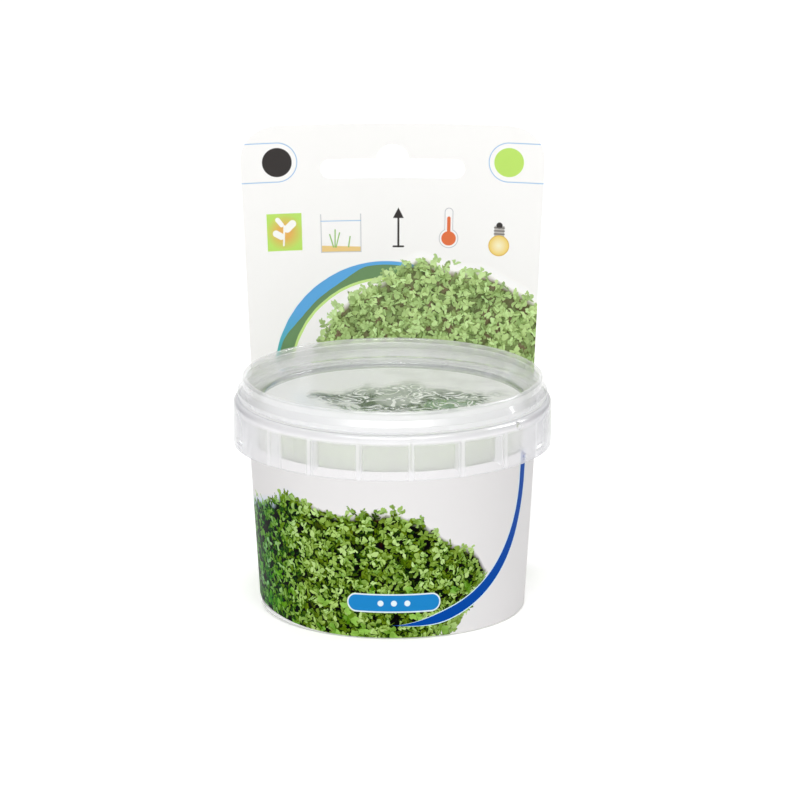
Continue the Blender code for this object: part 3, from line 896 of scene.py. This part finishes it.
# Printed polypropylene film, wrapped while the tub was moulded: a clean satin surface that takes the tub's
# curve, with the picture's grain only in its colour
def labelPrint():
    d = label
    mat, shader = newMaterial("printed polypropylene film", d["gloss"])
    place = printedPlace(mat)
    painted, leafy = foliage(mat, place, d["ground"], d, labelLeaves)
    across = addNode(mat, "SeparateXYZ", place).outputs["X"]
    # Darker and cooler towards the left end of what the front shows, and as elsewhere again further round
    shaded = both(mat, ramp(mat, across, *d["leftShadeFrom"]), ramp(mat, across, *d["leftShadeTo"]))
    onLeft = both(mat, shaded, leafy)
    painted = tinted(mat, painted, onLeft, d["leftShade"], "MULTIPLY")
    contrast = blend(mat, onLeft, both(mat, leafy, d["contrast"]), d["leftContrast"])
    painted = addNode(mat, "BrightContrast", painted, both(mat, onLeft, d["leftBright"]), contrast)
    painted = stripe(mat, place, painted)
    x, y = d["pillMiddle"]
    left, right = (x - d["pillReach"], y), (x + d["pillReach"], y)
    marks = [
        (left, right, d["pillRadius"] + d["pillRimWidth"], d["pillWhite"]),
        (left, right, d["pillRadius"], d["pillColor"]),
    ]
    for step in (-1, 0, 1):
        spot = (x + step * d["dotSpacing"], y)
        marks.append((spot, spot, d["dotRadius"], d["pillWhite"]))
    for start, end, radius, color in marks:
        painted = tinted(mat, painted, strokeMask(mat, place, start, end, radius), color)
    connect(mat, painted, shader.inputs["Base Color"])
    return mat


# A plain curved stripe: it runs straight down, then round a quarter of an ellipse to a thin point
def stripe(mat, place, below):
    d = label
    share = inShares(mat, place, d["stripeMiddle"], d["stripeReach"])
    bent = addNode(mat, "VectorMath MINIMUM", share, (2, 0, 0))
    sides = addNode(mat, "SeparateXYZ", bent).outputs
    length = addNode(mat, "VectorMath LENGTH", bent)
    off = addNode(mat, "MapRange", length, 0.0, 1.0, -d["stripeReach"][0], 0.0, clamp=False)
    distance = addNode(mat, "Math ABSOLUTE", off)
    swell = ramp(mat, sides["X"], *d["stripeSwell"], 0.0, d["stripeHalfWidth"], "SMOOTHSTEP")
    half = both(mat, swell, ramp(mat, sides["Y"], *d["stripeSlim"], "SMOOTHSTEP"))
    right = addNode(mat, "Math GREATER_THAN", sides["X"], d["stripeSwell"][0])
    rim = both(mat, ramp(mat, sides["X"], *d["stripeRimFrom"]), d["stripeRimWidth"])
    for wider, color in ((rim, d["stripeRim"]), (0.0, d["stripeColor"])):
        edge = addNode(mat, "Math ADD", half, wider)
        inside = addNode(mat, "Math LESS_THAN", distance, edge)
        below = tinted(mat, below, both(mat, inside, right), color)
    return below


def makeLabel():
    d = label
    inFoot, inTop = tub["footRadius"] + d["footGap"], wallRadius(d["top"]) + d["gap"]
    outFoot, outTop = inFoot + d["footThickness"], inTop + d["thickness"]
    low, high = d["bottom"], d["top"]
    profile = [(outTop, high), (outFoot, low), (inFoot, low), (inTop, high), (outTop, high)]
    piece = turned("wrapLabel", profile, d["steps"])
    # The film sits a little crooked: its lower edge climbs on the left
    for point in piece.data.vertices:
        if point.co.z < (low + high) / 2 * mm:
            radius = math.hypot(*point.co.xy) / mm
            top = inTop if radius < (inFoot + outFoot) / 2 else outTop
            share = d["leftRise"] * max(0, -point.co.x / mm / radius) ** 4 / (high - low)
            wider = 1 + (top / radius - 1) * share
            point.co = (point.co.x * wider, point.co.y * wider, (low + (high - low) * share) * mm)
    uv = piece.data.uv_layers.new(name="printPlace")
    for face in piece.data.polygons:
        faceAngle = math.atan2(face.center.x, -face.center.y)
        for corner in face.loop_indices:
            point = piece.data.vertices[piece.data.loops[corner].vertex_index].co
            angle = math.atan2(point.x, -point.y)
            if angle - faceAngle > math.pi:
                angle -= 2 * math.pi
            if faceAngle - angle > math.pi:
                angle += 2 * math.pi
            uv.data[corner].uv = (angle * d["meanRadius"] / uvUnit, point.z / mm / uvUnit)
    smooth(piece)
    coat(piece, labelPrint())
    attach(piece, "root")
    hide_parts("wrap_label")


makeLabel()
print("label ready")


# The header card

card = {
    "thickness": 0.5,
    "frontAtBase": 33.32,
    "lean": 9.67,
    "bowRadius": 450.0,
    "foot": 2.4,
    "top": 113.8,
    "halfWidth": 33.8,
    "spread": 0.051,
    "topCorner": 8.5,
    "footCorner": 4.0,
    "slotLength": 37.2,
    "slotHeight": 5.0,
    "slotMiddle": 102.3,
    "notchRadius": 4.3,
    "notchMiddle": 104.2,
    "bendLines": 32,
    "printRadius": 752.7,
    "ground": "#fdfcfa",
    "bank": (
        (-52, 0), (-30, 0), (-23, 30), (-21, 52), (-19, 61), (-15, 68), (-10, 72.5), (-4, 75.5), (2, 79),
        (7, 82), (13, 80), (19, 79), (25, 78.5), (30, 76), (35, 73.5), (39, 71), (52, 69),
    ),
    "tall": 120,
    "ragged": 3.0,
    "endFoot": 100.0,
    "endSlope": 0.0,
    "clumpSize": 4.0,
    "softness": 0.3,
    "narrow": 0.52,
    "shadow": "#d0d6ba",
    "depthColor": "#6b7148",
    "brownColor": "#7a6a50",
    "warmColor": "#aebb6c",
    "pull": 2.1,
    "pullSize": 2.0,
    "bright": 0.055,
    "contrast": 0.14,
    "shift": 320,
    "bandMiddle": (-1.8, 48.0),
    "bandRadius": 30.4,
    "bandDepths": (4.2, 4.9),
    "bandWidest": (-0.64, 0.77, 0),
    "bandSwell": (0.86, 1.0, 0.9, 2.9),
    "bandFades": (51.0, 55.0),
    "bandBlueFrom": (0.15, 0.6),
    "bandRightEnd": 0.3,
    "bandBlues": ("#43b79a", "#57abe6"),
    "bandGreens": ("#c9e98a", "#678f5b"),
    "dark": "#1f1714",
    "lime": "#bfe766",
    "paleBlue": "#9dc2e8",
    "outline": "#c4c5ca",
    "orange": "#e56f35",
    "sprout": "#fdfdf8",
    "roughness": 0.4,
}
cardLeaves = (
    (2.6, 2.4, "#69804a", "#8fa769", 1.0, 1.4, 0.0, 4),
    (2.7, 2.3, "#7b9757", "#a1be77", 0.9, 1.0, 0.28, 3),
    (2.8, 2.2, "#8aa963", "#aecd83", 0.85, 0.5, 0.32, 4),
    (2.8, 2.1, "#97b76f", "#bbd890", 0.75, 0.1, 0.35, 3),
    (2.9, 2.0, "#a2c279", "#c5e29a", 0.65, -0.3, 0.38, 4),
    (3.1, 2.0, "#abce84", "#cfeba7", 0.45, -0.7, 0.42, 3),
)


def line(x0, y0, x1, y1, radius, color):
    return strokeMask, ((x0, y0), (x1, y1), radius), color


def disc(x, y, radius, color, blur=printBlur):
    return strokeMask, ((x, y), (x, y), radius, blur), color


def plate(corners, color):
    return plateMask, (corners,), color


# The card's small plain signs: two tabs with a disc, then a sprout on a square, a tank, an arrow, a
# thermometer and a lamp
def cardMarks():
    c = card
    white, ink, grey, sprout = c["ground"], c["dark"], c["outline"], c["sprout"]
    marks = []
    for end, middle, tone in ((-60, -29.2, ink), (60, 29.4, c["lime"])):
        marks += [
            line(end, 104.4, middle, 104.4, 5.15, c["paleBlue"]),
            line(end, 104.4, middle, 104.4, 4.9, white),
            disc(middle, 104.4, 3.75, tone),
        ]
    marks += [
        plate(((-32.4, 81.6), (-23.4, 81.6), (-23.4, 91.2), (-32.4, 91.2)), c["lime"]),
        disc(-27.9, 86.4, 3.2, "#e9b356", 1.6),
        line(-28.2, 83.0, -27.9, 88.0, 0.22, sprout),
        line(-28.8, 85.3, -30.1, 86.1, 0.85, sprout),
        line(-27.2, 87.2, -25.8, 88.5, 0.95, sprout),
        line(-28.6, 88.3, -29.6, 89.6, 0.6, sprout),
        plate(((-18.5, 80.9), (-8.2, 80.9), (-8.2, 82.2), (-18.5, 82.6)), "#f0cf86"),
        line(-18.5, 80.9, -8.2, 80.9, 0.11, grey),
        line(-18.5, 80.9, -18.5, 90.6, 0.11, grey),
        line(-8.2, 80.9, -8.2, 90.6, 0.11, grey),
        line(-18.5, 88.9, -8.2, 88.9, 0.11, c["paleBlue"]),
        line(1.5, 82.2, 1.5, 90.2, 0.26, ink),
        line(0.2, 82.2, 2.8, 82.2, 0.24, ink),
        plate(((0.1, 89.5), (2.9, 89.5), (1.5, 92.2)), ink),
        line(14.5, 85.0, 14.5, 91.2, 1.1, grey),
        disc(14.5, 84.4, 2.5, grey),
        line(14.5, 85.0, 14.5, 91.2, 0.9, white),
        disc(14.5, 84.4, 2.3, white),
        disc(14.5, 84.4, 1.85, c["orange"]),
        line(14.5, 85.0, 14.5, 89.6, 0.45, c["orange"]),
        plate(((26.3, 84.6), (28.9, 84.6), (28.9, 88.0), (26.3, 88.0)), "#b9b5b0"),
        disc(27.6, 88.1, 0.8, ink),
        disc(27.6, 82.9, 2.7, "#dfb23f"),
        disc(27.6, 82.9, 2.5, "#f4d469"),
        disc(27.6, 82.9, 1.3, "#fff6cf", 1.2),
    ]
    for x, lean, tall in ((-15.4, -0.9, 3.2), (-15.0, 0.1, 4.4), (-14.7, 1.0, 3.6), (-11.4, 0.4, 2.6)):
        marks.append(line(x, 82.2, x + lean, 82.2 + tall, 0.16, "#8fbf58"))
    for y in (85.9, 86.7, 87.5):
        marks.append(line(26.3, y, 28.9, y, 0.14, "#5d5650"))
    return marks


# A plain band of three colours that curves round the picture: the outer one swells and thins, and the others
# keep their width
def cardBand(mat, place, below):
    c = card
    away = addNode(mat, "VectorMath SUBTRACT", place, (*c["bandMiddle"], 0))
    length = addNode(mat, "VectorMath LENGTH", away)
    direction = addNode(mat, "VectorMath NORMALIZE", away)
    upLeft = addNode(mat, "VectorMath DOT_PRODUCT", direction, c["bandWidest"])
    sides = addNode(mat, "SeparateXYZ", direction).outputs
    upward = addNode(mat, "SeparateXYZ", place).outputs["Y"]
    swell = ramp(mat, upLeft, *c["bandSwell"], "SMOOTHSTEP")
    blue = tinted(mat, c["bandBlues"][0], ramp(mat, sides["Y"], *c["bandBlueFrom"]), c["bandBlues"][1])
    depth = addNode(mat, "Math SUBTRACT", c["bandRadius"], length)
    onLeft = addNode(mat, "Math LESS_THAN", sides["X"], c["bandRightEnd"])
    started = ramp(mat, depth, -printBlur, printBlur, 0.0, onLeft)
    green, ended, ringed = (addNode(mat, "Math LESS_THAN", depth, edge) for edge in (*c["bandDepths"], swell))
    inner = tinted(mat, c["bandGreens"][0], green, c["bandGreens"][1])
    mask = both(mat, both(mat, started, ended), ramp(mat, upward, *c["bandFades"]))
    return tinted(mat, below, mask, tinted(mat, inner, ringed, blue))


# Printed solid bleached board, sealed with a thin satin varnish: white, smooth and slightly glossy in front
def cardPrint():
    c = card
    mat, shader = newMaterial("printed coated cardboard", {"Roughness": c["roughness"]})
    place = printedPlace(mat)
    painted, leafy = foliage(mat, place, cardBand(mat, place, c["ground"]), c, cardLeaves)
    lift = (both(mat, leafy, c[name]) for name in ("bright", "contrast"))
    painted = addNode(mat, "BrightContrast", painted, *lift)
    for mask, sizes, color in cardMarks():
        painted = tinted(mat, painted, mask(mat, place, *sizes), color)
    connect(mat, painted, shader.inputs["Base Color"])
    return mat


# Uncoated back and cut edge of solid bleached board: matt white with a faint fibre mottle
def cardBack():
    mat, shader = newMaterial("uncoated cardboard back", {"Roughness": 0.75})
    connect(mat, mottled(mat, 0.9, 4.0, "#efeeea", "#f8f7f4"), shader.inputs["Base Color"])
    return mat


def fanPoint(across, upward):
    reach = card["halfWidth"] / card["spread"]
    angle = across / reach
    return math.sin(angle) * (reach + upward), math.cos(angle) * (reach + upward) - reach


def bendCard(across, upward, front):
    # Stands the flat card up, leaning back, with its sides bowed slightly forward
    lean = math.radians(card["lean"])
    bow = across * across / (2 * card["bowRadius"])
    middle = card["frontAtBase"] + card["thickness"] / 2 / math.cos(lean)
    depth = -front - bow
    return Vector((
        across,
        middle + upward * math.sin(lean) + depth * math.cos(lean),
        upward * math.cos(lean) - depth * math.sin(lean),
    )) * mm


def flatSheet(name, width, bottom, top):
    deselectAll()
    bpy.ops.mesh.primitive_plane_add(size=1, location=(0, (bottom + top) / 2 * mm, 0))
    sheet = bpy.context.object
    sheet.name = name
    sheet.scale = (width * mm, (top - bottom) * mm, 1)
    applyPlace(sheet)
    return sheet


def roundCorners(piece, chosen, radius, segments):
    selectOnly(piece)
    for part in (*piece.data.polygons, *piece.data.edges):
        part.select = False
    for point in piece.data.vertices:
        point.select = chosen(point.co / mm)
    bpy.ops.object.mode_set(mode="EDIT")
    bpy.ops.mesh.select_mode(type="VERT")
    bpy.ops.mesh.bevel(offset=radius * mm, segments=segments, affect="VERTICES")
    bpy.ops.object.mode_set(mode="OBJECT")


def thicken(piece, thickness):
    solid = piece.modifiers.new("thickness", "SOLIDIFY")
    solid.thickness = thickness * mm
    solid.offset = 0
    applyModifiers(piece)


def makeCard():
    c = card
    sheet = flatSheet("headerCard", c["halfWidth"] * 2, c["foot"], c["top"])
    half = (c["foot"] + c["top"]) / 2
    roundCorners(sheet, lambda p: p.y > half, c["topCorner"], 10)
    roundCorners(sheet, lambda p: p.y < half, c["footCorner"], 10)
    thicken(sheet, c["thickness"])
    low, high = c["slotMiddle"] - c["slotHeight"] / 2, c["slotMiddle"] + c["slotHeight"] / 2
    # The slot is cut before the card is fanned out, so it is made narrower by as much as the fan widens it
    widening = 1 + c["spread"] * c["slotMiddle"] / c["halfWidth"]
    slot = flatSheet("slot", c["slotLength"], low, high)
    # The slot's ends are round, but a hair short of full half circles, so that no two corners meet
    roundCorners(slot, lambda p: True, c["slotHeight"] / 2 * 0.999, 12)
    thicken(slot, c["thickness"] * 4)
    deselectAll()
    bpy.ops.mesh.primitive_cylinder_add(
        vertices=48, radius=c["notchRadius"] * mm, depth=c["thickness"] * 4 * mm,
        location=(0, c["notchMiddle"] * mm, 0))
    notch = bpy.context.object
    applyPlace(notch)
    # A block takes off the disc's lower part, because the notch only rises from the slot
    boolean(notch, "DIFFERENCE", blockAt("lowSide", (20, 20, 20), (0, low + 1.0 - 10, 0)))
    boolean(slot, "UNION", notch)
    for point in slot.data.vertices:
        point.co.x /= widening
    boolean(sheet, "DIFFERENCE", slot)
    selectOnly(sheet)
    bpy.ops.object.mode_set(mode="EDIT")
    bends = c["bendLines"]
    bisectAlong((1, 0, 0), [c["halfWidth"] * (2 * i / bends - 1) for i in range(1, bends)])
    bpy.ops.object.mode_set(mode="OBJECT")
    mesh = sheet.data
    uv = mesh.uv_layers.new(name="printPlace")
    toPrint = c["printRadius"] * c["spread"] / c["halfWidth"]
    for corner in mesh.loops:
        point = mesh.vertices[corner.vertex_index].co / mm
        uv.data[corner.index].uv = (point.x * toPrint / uvUnit, point.y / uvUnit)
    coat(sheet, cardPrint(), cardBack())
    for face in mesh.polygons:
        face.material_index = 0 if face.normal.z > 0.5 else 1
    for point in mesh.vertices:
        across, upward = fanPoint(point.co.x / mm, point.co.y / mm)
        point.co = bendCard(across, upward, point.co.z / mm)
    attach(sheet, "root")
    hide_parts("header_card")
    return sheet


cardPiece = makeCard()
print("card ready:", len(cardPiece.data.polygons), "faces")


# The culture gel

gel = {
    "top": 13.0,
    "gap": 0.35,
    "corner": 2.6,
    "creep": 0.9,
    "color": "#e6e8d6",
    "cloudColor": "#d8dcc0",
    "cloudSize": 12,
    "gloss": {"Roughness": 0.06, "IOR": 1.34, "Alpha": 0.5},
}


# Agar set in the tub: a clear jelly with a wet gloss, slightly cloudy and warm
def agarGel():
    mat, shader = newMaterial("set agar", gel["gloss"])
    tone = mottled(mat, gel["cloudSize"], 3.0, gel["color"], gel["cloudColor"])
    connect(mat, tone, shader.inputs["Base Color"])
    return mat


def makeGel():
    # The gel creeps up a little at the wall
    foot = tub["floorThickness"] + gel["gap"]
    inset = tub["wallThickness"] + gel["gap"]
    side = wallRadius(foot + gel["corner"]) - inset
    topSide = wallRadius(gel["top"]) - inset
    creep = gel["creep"]
    profile = [(0, gel["top"])]
    for inward, rise in ((2, 0), (1, 0.15), (0.3, 0.5), (0, 1)):
        profile.append((topSide - inward * creep, gel["top"] + rise * creep))
    profile += arcPoints((side - gel["corner"], foot + gel["corner"]), gel["corner"], 0, -90, 6)
    profile.append((0, foot))
    piece = turned("cultureGel", profile)
    smooth(piece, 45)
    coat(piece, agarGel())
    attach(piece, "root")
    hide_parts("agar_gel")


makeGel()
print("gel ready")


# The plants: thin stems with pairs of small round leaves, each pair turned square to the last

plants = {
    "radius": 10.2,
    "spacing": 21.4,
    "tops": (47.9, 47.6, 47.2, 45.5, 44.0, 45.5, 47.4),
    "rootDepth": 1.0,
    "rootSpread": 0.62,
    "leafRoom": 1.6,
    "tipRoom": 0.8,
    "tipDrop": 3.5,
    "tipScatter": 2.0,
    "sprigsEach": 52,
    "sprigKinds": 4,
    "sprigHeight": 34.0,
    "sprigBends": 7,
    "goldenAngle": 2.39996,
    "pairs": 12,
    "pairShift": 0.2,
    "pairTurn": 25,
    "leafTilt": 14,
    "leafSize": (0.8, 1.1),
    "bareFoot": 3.0,
    "stemRadius": 0.17,
    "stemSway": 1.6,
    "leafLength": 3.0,
    "leafWidth": 2.3,
    "leafFold": 0.35,
    "leafCurl": 0.45,
    "leafLift": 28,
    "leafLiftByHeight": 30,
    "leafPatchSize": 4,
    "leafLight": "#b1d876",
    "leafDark": "#66973a",
    "leafByHeight": (-0.25, 0.35),
    "leafGloss": {"Roughness": 0.42, "IOR": 1.42},
    "stemColor": "#b4ca82",
    "stemStreaks": "#86a455",
    "stemStreakSize": 2,
    "stemGloss": {"Roughness": 0.55},
}


# Young leaf blade grown under glass: thin, smooth and satin, lighter and yellower towards the tuft's tips
def leafBlade():
    p = plants
    mat, shader = newMaterial("young leaf blade", p["leafGloss"])
    place = addNode(mat, "TexCoord").outputs["Object"]
    patch = addNode(mat, "TexNoise", place, 1 / (p["leafPatchSize"] * mm), 2.0)
    height = addNode(mat, "SeparateXYZ", place).outputs["Z"]
    grown = ramp(mat, height, gel["top"] * mm, p["tops"][0] * mm, *p["leafByHeight"])
    tone = addNode(mat, "Math ADD", grown, patch, use_clamp=True)
    connect(mat, tinted(mat, p["leafDark"], tone, p["leafLight"]), shader.inputs["Base Color"])
    return mat


# Soft green stem: paler than the leaves, almost matt
def greenStem():
    p = plants
    mat, shader = newMaterial("soft green stem", p["stemGloss"])
    tone = mottled(mat, p["stemStreakSize"], 2.0, p["stemColor"], p["stemStreaks"])
    connect(mat, tone, shader.inputs["Base Color"])
    return mat


def copyOf(piece, matrix):
    copy = piece.copy()
    copy.data = piece.data.copy()
    bpy.context.collection.objects.link(copy)
    copy.data.transform(matrix)
    return copy


# One leaf: a small grid drawn in to an egg shape, folded along its rib and curled upwards
def makeLeaf():
    deselectAll()
    bpy.ops.mesh.primitive_grid_add(x_subdivisions=4, y_subdivisions=2, size=1)
    leaf = bpy.context.object
    for point in leaf.data.vertices:
        along, side = point.co.x + 0.5, point.co.y * 2
        width = max(0.1, math.sin(math.pi * along ** 0.85)) ** 0.65
        point.co = Vector((
            along * plants["leafLength"],
            side * width * plants["leafWidth"] / 2,
            abs(side) * width * plants["leafFold"] + along ** 2 * plants["leafCurl"],
        )) * mm
    return leaf


def swayOf(kind, share):
    turn = 2.4 * kind
    reach = plants["stemSway"] * math.sin(2.6 * share + kind) * share
    return reach * math.cos(turn), reach * math.sin(turn)


def makeSprig(kind, leaf, blade, stem):
    p = plants
    tall = p["sprigHeight"]
    deselectAll()
    bpy.ops.mesh.primitive_cone_add(
        vertices=4, radius1=p["stemRadius"] * mm, radius2=p["stemRadius"] * 0.6 * mm,
        depth=tall * mm, location=(0, 0, tall / 2 * mm))
    stalk = bpy.context.object
    applyPlace(stalk)
    bpy.ops.object.mode_set(mode="EDIT")
    bisectAlong((0, 0, 1), [tall * i / p["sprigBends"] for i in range(1, p["sprigBends"])])
    bpy.ops.object.mode_set(mode="OBJECT")
    for point in stalk.data.vertices:
        sideways = swayOf(kind, point.co.z / mm / tall)
        point.co.x += sideways[0] * mm
        point.co.y += sideways[1] * mm
    coat(stalk, blade, stem)
    for face in stalk.data.polygons:
        face.material_index = 1
    parts = [stalk]
    for i in range(p["pairs"]):
        share = (i + 0.5 + scatter.uniform(-p["pairShift"], p["pairShift"])) / p["pairs"]
        height = p["bareFoot"] + (tall - p["bareFoot"]) * share
        x, y = swayOf(kind, height / tall)
        size = scatter.uniform(*p["leafSize"]) * (0.75 + 0.35 * math.sin(math.pi * min(share * 1.15, 1)))
        for side in (0, 180):
            turn = math.radians(90 * i + side + scatter.uniform(-p["pairTurn"], p["pairTurn"]))
            tilt = p["leafLift"] + p["leafLiftByHeight"] * share
            lift = math.radians(tilt + scatter.uniform(-p["leafTilt"], p["leafTilt"]))
            parts.append(copyOf(leaf, Matrix.Translation(Vector((x, y, height)) * mm)
                                @ Matrix.Rotation(turn, 4, "Z") @ Matrix.Rotation(-lift, 4, "Y")
                                @ Matrix.Scale(size, 4)))
            coat(parts[-1], blade)
    return joined(parts, "sprig")


# A tuft of sprigs, rooted close together and spreading as they rise
def makeClump(number, middle, top, sprigs):
    p = plants
    foot = gel["top"] - p["rootDepth"]
    copies = []
    for i in range(p["sprigsEach"]):
        share = math.sqrt((i + 0.5) / p["sprigsEach"])
        turn = p["goldenAngle"] * i + number
        outward = Vector((math.cos(turn), math.sin(turn), 0)) * share * (p["radius"] - p["leafRoom"])
        root = outward * p["rootSpread"]
        tip = top - p["tipRoom"] - p["tipDrop"] * share ** 3 - scatter.uniform(0, p["tipScatter"])
        lean = (outward - root + Vector((scatter.uniform(-1, 1), scatter.uniform(-1, 1), 0))) / (tip - foot)
        shear = Matrix.Identity(4)
        shear[0][2], shear[1][2] = lean.x, lean.y
        start = (middle + root + Vector((0, 0, foot))) * mm
        stretch = Matrix.Diagonal((1, 1, (tip - foot) / p["sprigHeight"], 1))
        twist = Matrix.Rotation(scatter.uniform(0, 2 * math.pi), 4, "Z")
        copies.append(copyOf(scatter.choice(sprigs), Matrix.Translation(start) @ shear @ stretch @ twist))
    clump = joined(copies, f"plantClump{number}")
    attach(clump, "root")
    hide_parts(f"plant_clump_{number}")


def makePlants():
    leaf = makeLeaf()
    blade, stem = leafBlade(), greenStem()
    sprigs = [makeSprig(kind, leaf, blade, stem) for kind in range(plants["sprigKinds"])]
    makeClump(1, Vector((0, 0, 0)), plants["tops"][0], sprigs)
    for i in range(6):
        turn = 2 * math.pi * i / 6
        middle = Vector((math.cos(turn), math.sin(turn), 0)) * plants["spacing"]
        makeClump(i + 2, middle, plants["tops"][i + 1], sprigs)
    for piece in [leaf, *sprigs]:
        bpy.data.objects.remove(piece)


makePlants()
print("plants ready")


# Floor, lights and camera, in metres and watts but for the camera's place

studio = {
    "focal": 275.85,
    "target": (1.9, 0.0, 52.6),
    "distance": 1540.0,
    "lookDown": 14.8,
    "skyStrength": 0.89,
    "sideShade": 0.1,
    "sideShadeFrom": (0.22, 0.8),
    "backdrop": 1.2,
    "floorSize": 6,
    "floorColor": "#f6f6f6",
    "floorGlow": 0.36,
    "frontSoftbox": ((-0.25, -1.24, 2.3), (2.0, 0.9), 27.0),
    "stripOnTheRight": ((0.8, 0.39, 0.8), (0.3, 0.5), 6.0),
    "glossPanels": (-40, -20, 0, 20, 40),
    "glossPanelSize": (0.5, 0.42),
    "glossPanelRing": (0.66, 1.14),
    "glossPanelPower": 3.4,
    "lampsAimAt": (0, 0, 0.05),
    "bounces": {"max": 24, "diffuse": 16, "glossy": 8, "transparent_max": 48},
}


def makeWorld():
    s = studio
    world = bpy.data.worlds.new("softStudio")
    world.use_nodes = True
    sky = world.node_tree.nodes["Background"]
    way = addNode(world, "TexCoord").outputs["Generated"]
    sideways = addNode(world, "Math ABSOLUTE", addNode(world, "SeparateXYZ", way))
    # Dark screens stand on the left and the right
    shade = ramp(world, sideways, *s["sideShadeFrom"], 1.0, s["sideShade"], "SMOOTHSTEP")
    # Past the floor the camera sees a plain white backdrop
    seen = addNode(world, "LightPath").outputs["Is Camera Ray"]
    connect(world, blend(world, seen, shade, s["backdrop"]), sky.inputs["Color"])
    sky.inputs["Strength"].default_value = s["skyStrength"]
    bpy.context.scene.world = world


def makeStudio():
    s = studio
    deselectAll()
    bpy.ops.mesh.primitive_plane_add(size=s["floorSize"], location=(0, 0, 0))
    floor = bpy.context.object
    floor.name = "paperFloor"
    coat(floor, newMaterial("backlit white acrylic sheet", {
        "Base Color": hexColor(s["floorColor"]),
        "Roughness": 0.9,
        "Specular IOR Level": 0.1,
        "Emission Color": (1, 1, 1, 1),
        "Emission Strength": s["floorGlow"],
    })[0])
    makeWorld()
    lamps = [(name, *s[name]) for name in ("frontSoftbox", "stripOnTheRight")]
    # A row of panels round the front, which only the gloss shows
    away, height = s["glossPanelRing"]
    for turn in s["glossPanels"]:
        angle = math.radians(turn)
        place = (away * math.sin(angle), -away * math.cos(angle), height)
        power = s["glossPanelPower"] * math.cos(1.7 * angle)
        lamps.append((f"glossPanel{turn + 40}", place, s["glossPanelSize"], power))
    for name, place, size, power in lamps:
        light = bpy.data.lights.new(name, "AREA")
        light.shape = "RECTANGLE"
        light.size, light.size_y = size
        light.energy = power
        lamp = bpy.data.objects.new(name, light)
        lamp.visible_diffuse = name == "frontSoftbox"
        lamp.visible_glossy = name != "frontSoftbox"
        bpy.context.scene.collection.objects.link(lamp)
        lamp.location = place
        lamp.rotation_euler = (Vector(s["lampsAimAt"]) - Vector(place)).to_track_quat("-Z", "Y").to_euler()
    scene = bpy.context.scene
    scene.view_settings.view_transform = "Standard"
    for kind, count in s["bounces"].items():
        setattr(scene.cycles, kind + "_bounces", count)
    pitch = math.radians(s["lookDown"])
    aim = Vector(s["target"]) * mm
    back = Vector((0, -math.cos(pitch), math.sin(pitch))) * s["distance"] * mm
    lens = bpy.data.cameras.new("photoCamera")
    lens.lens = s["focal"]
    lens.sensor_width = 36
    lens.clip_start = 0.05
    camera = bpy.data.objects.new("photoCamera", lens)
    scene.collection.objects.link(camera)
    camera.location = aim + back
    camera.rotation_euler = (math.pi / 2 - pitch, 0, 0)
    scene.camera = camera


makeStudio()
print("studio ready")
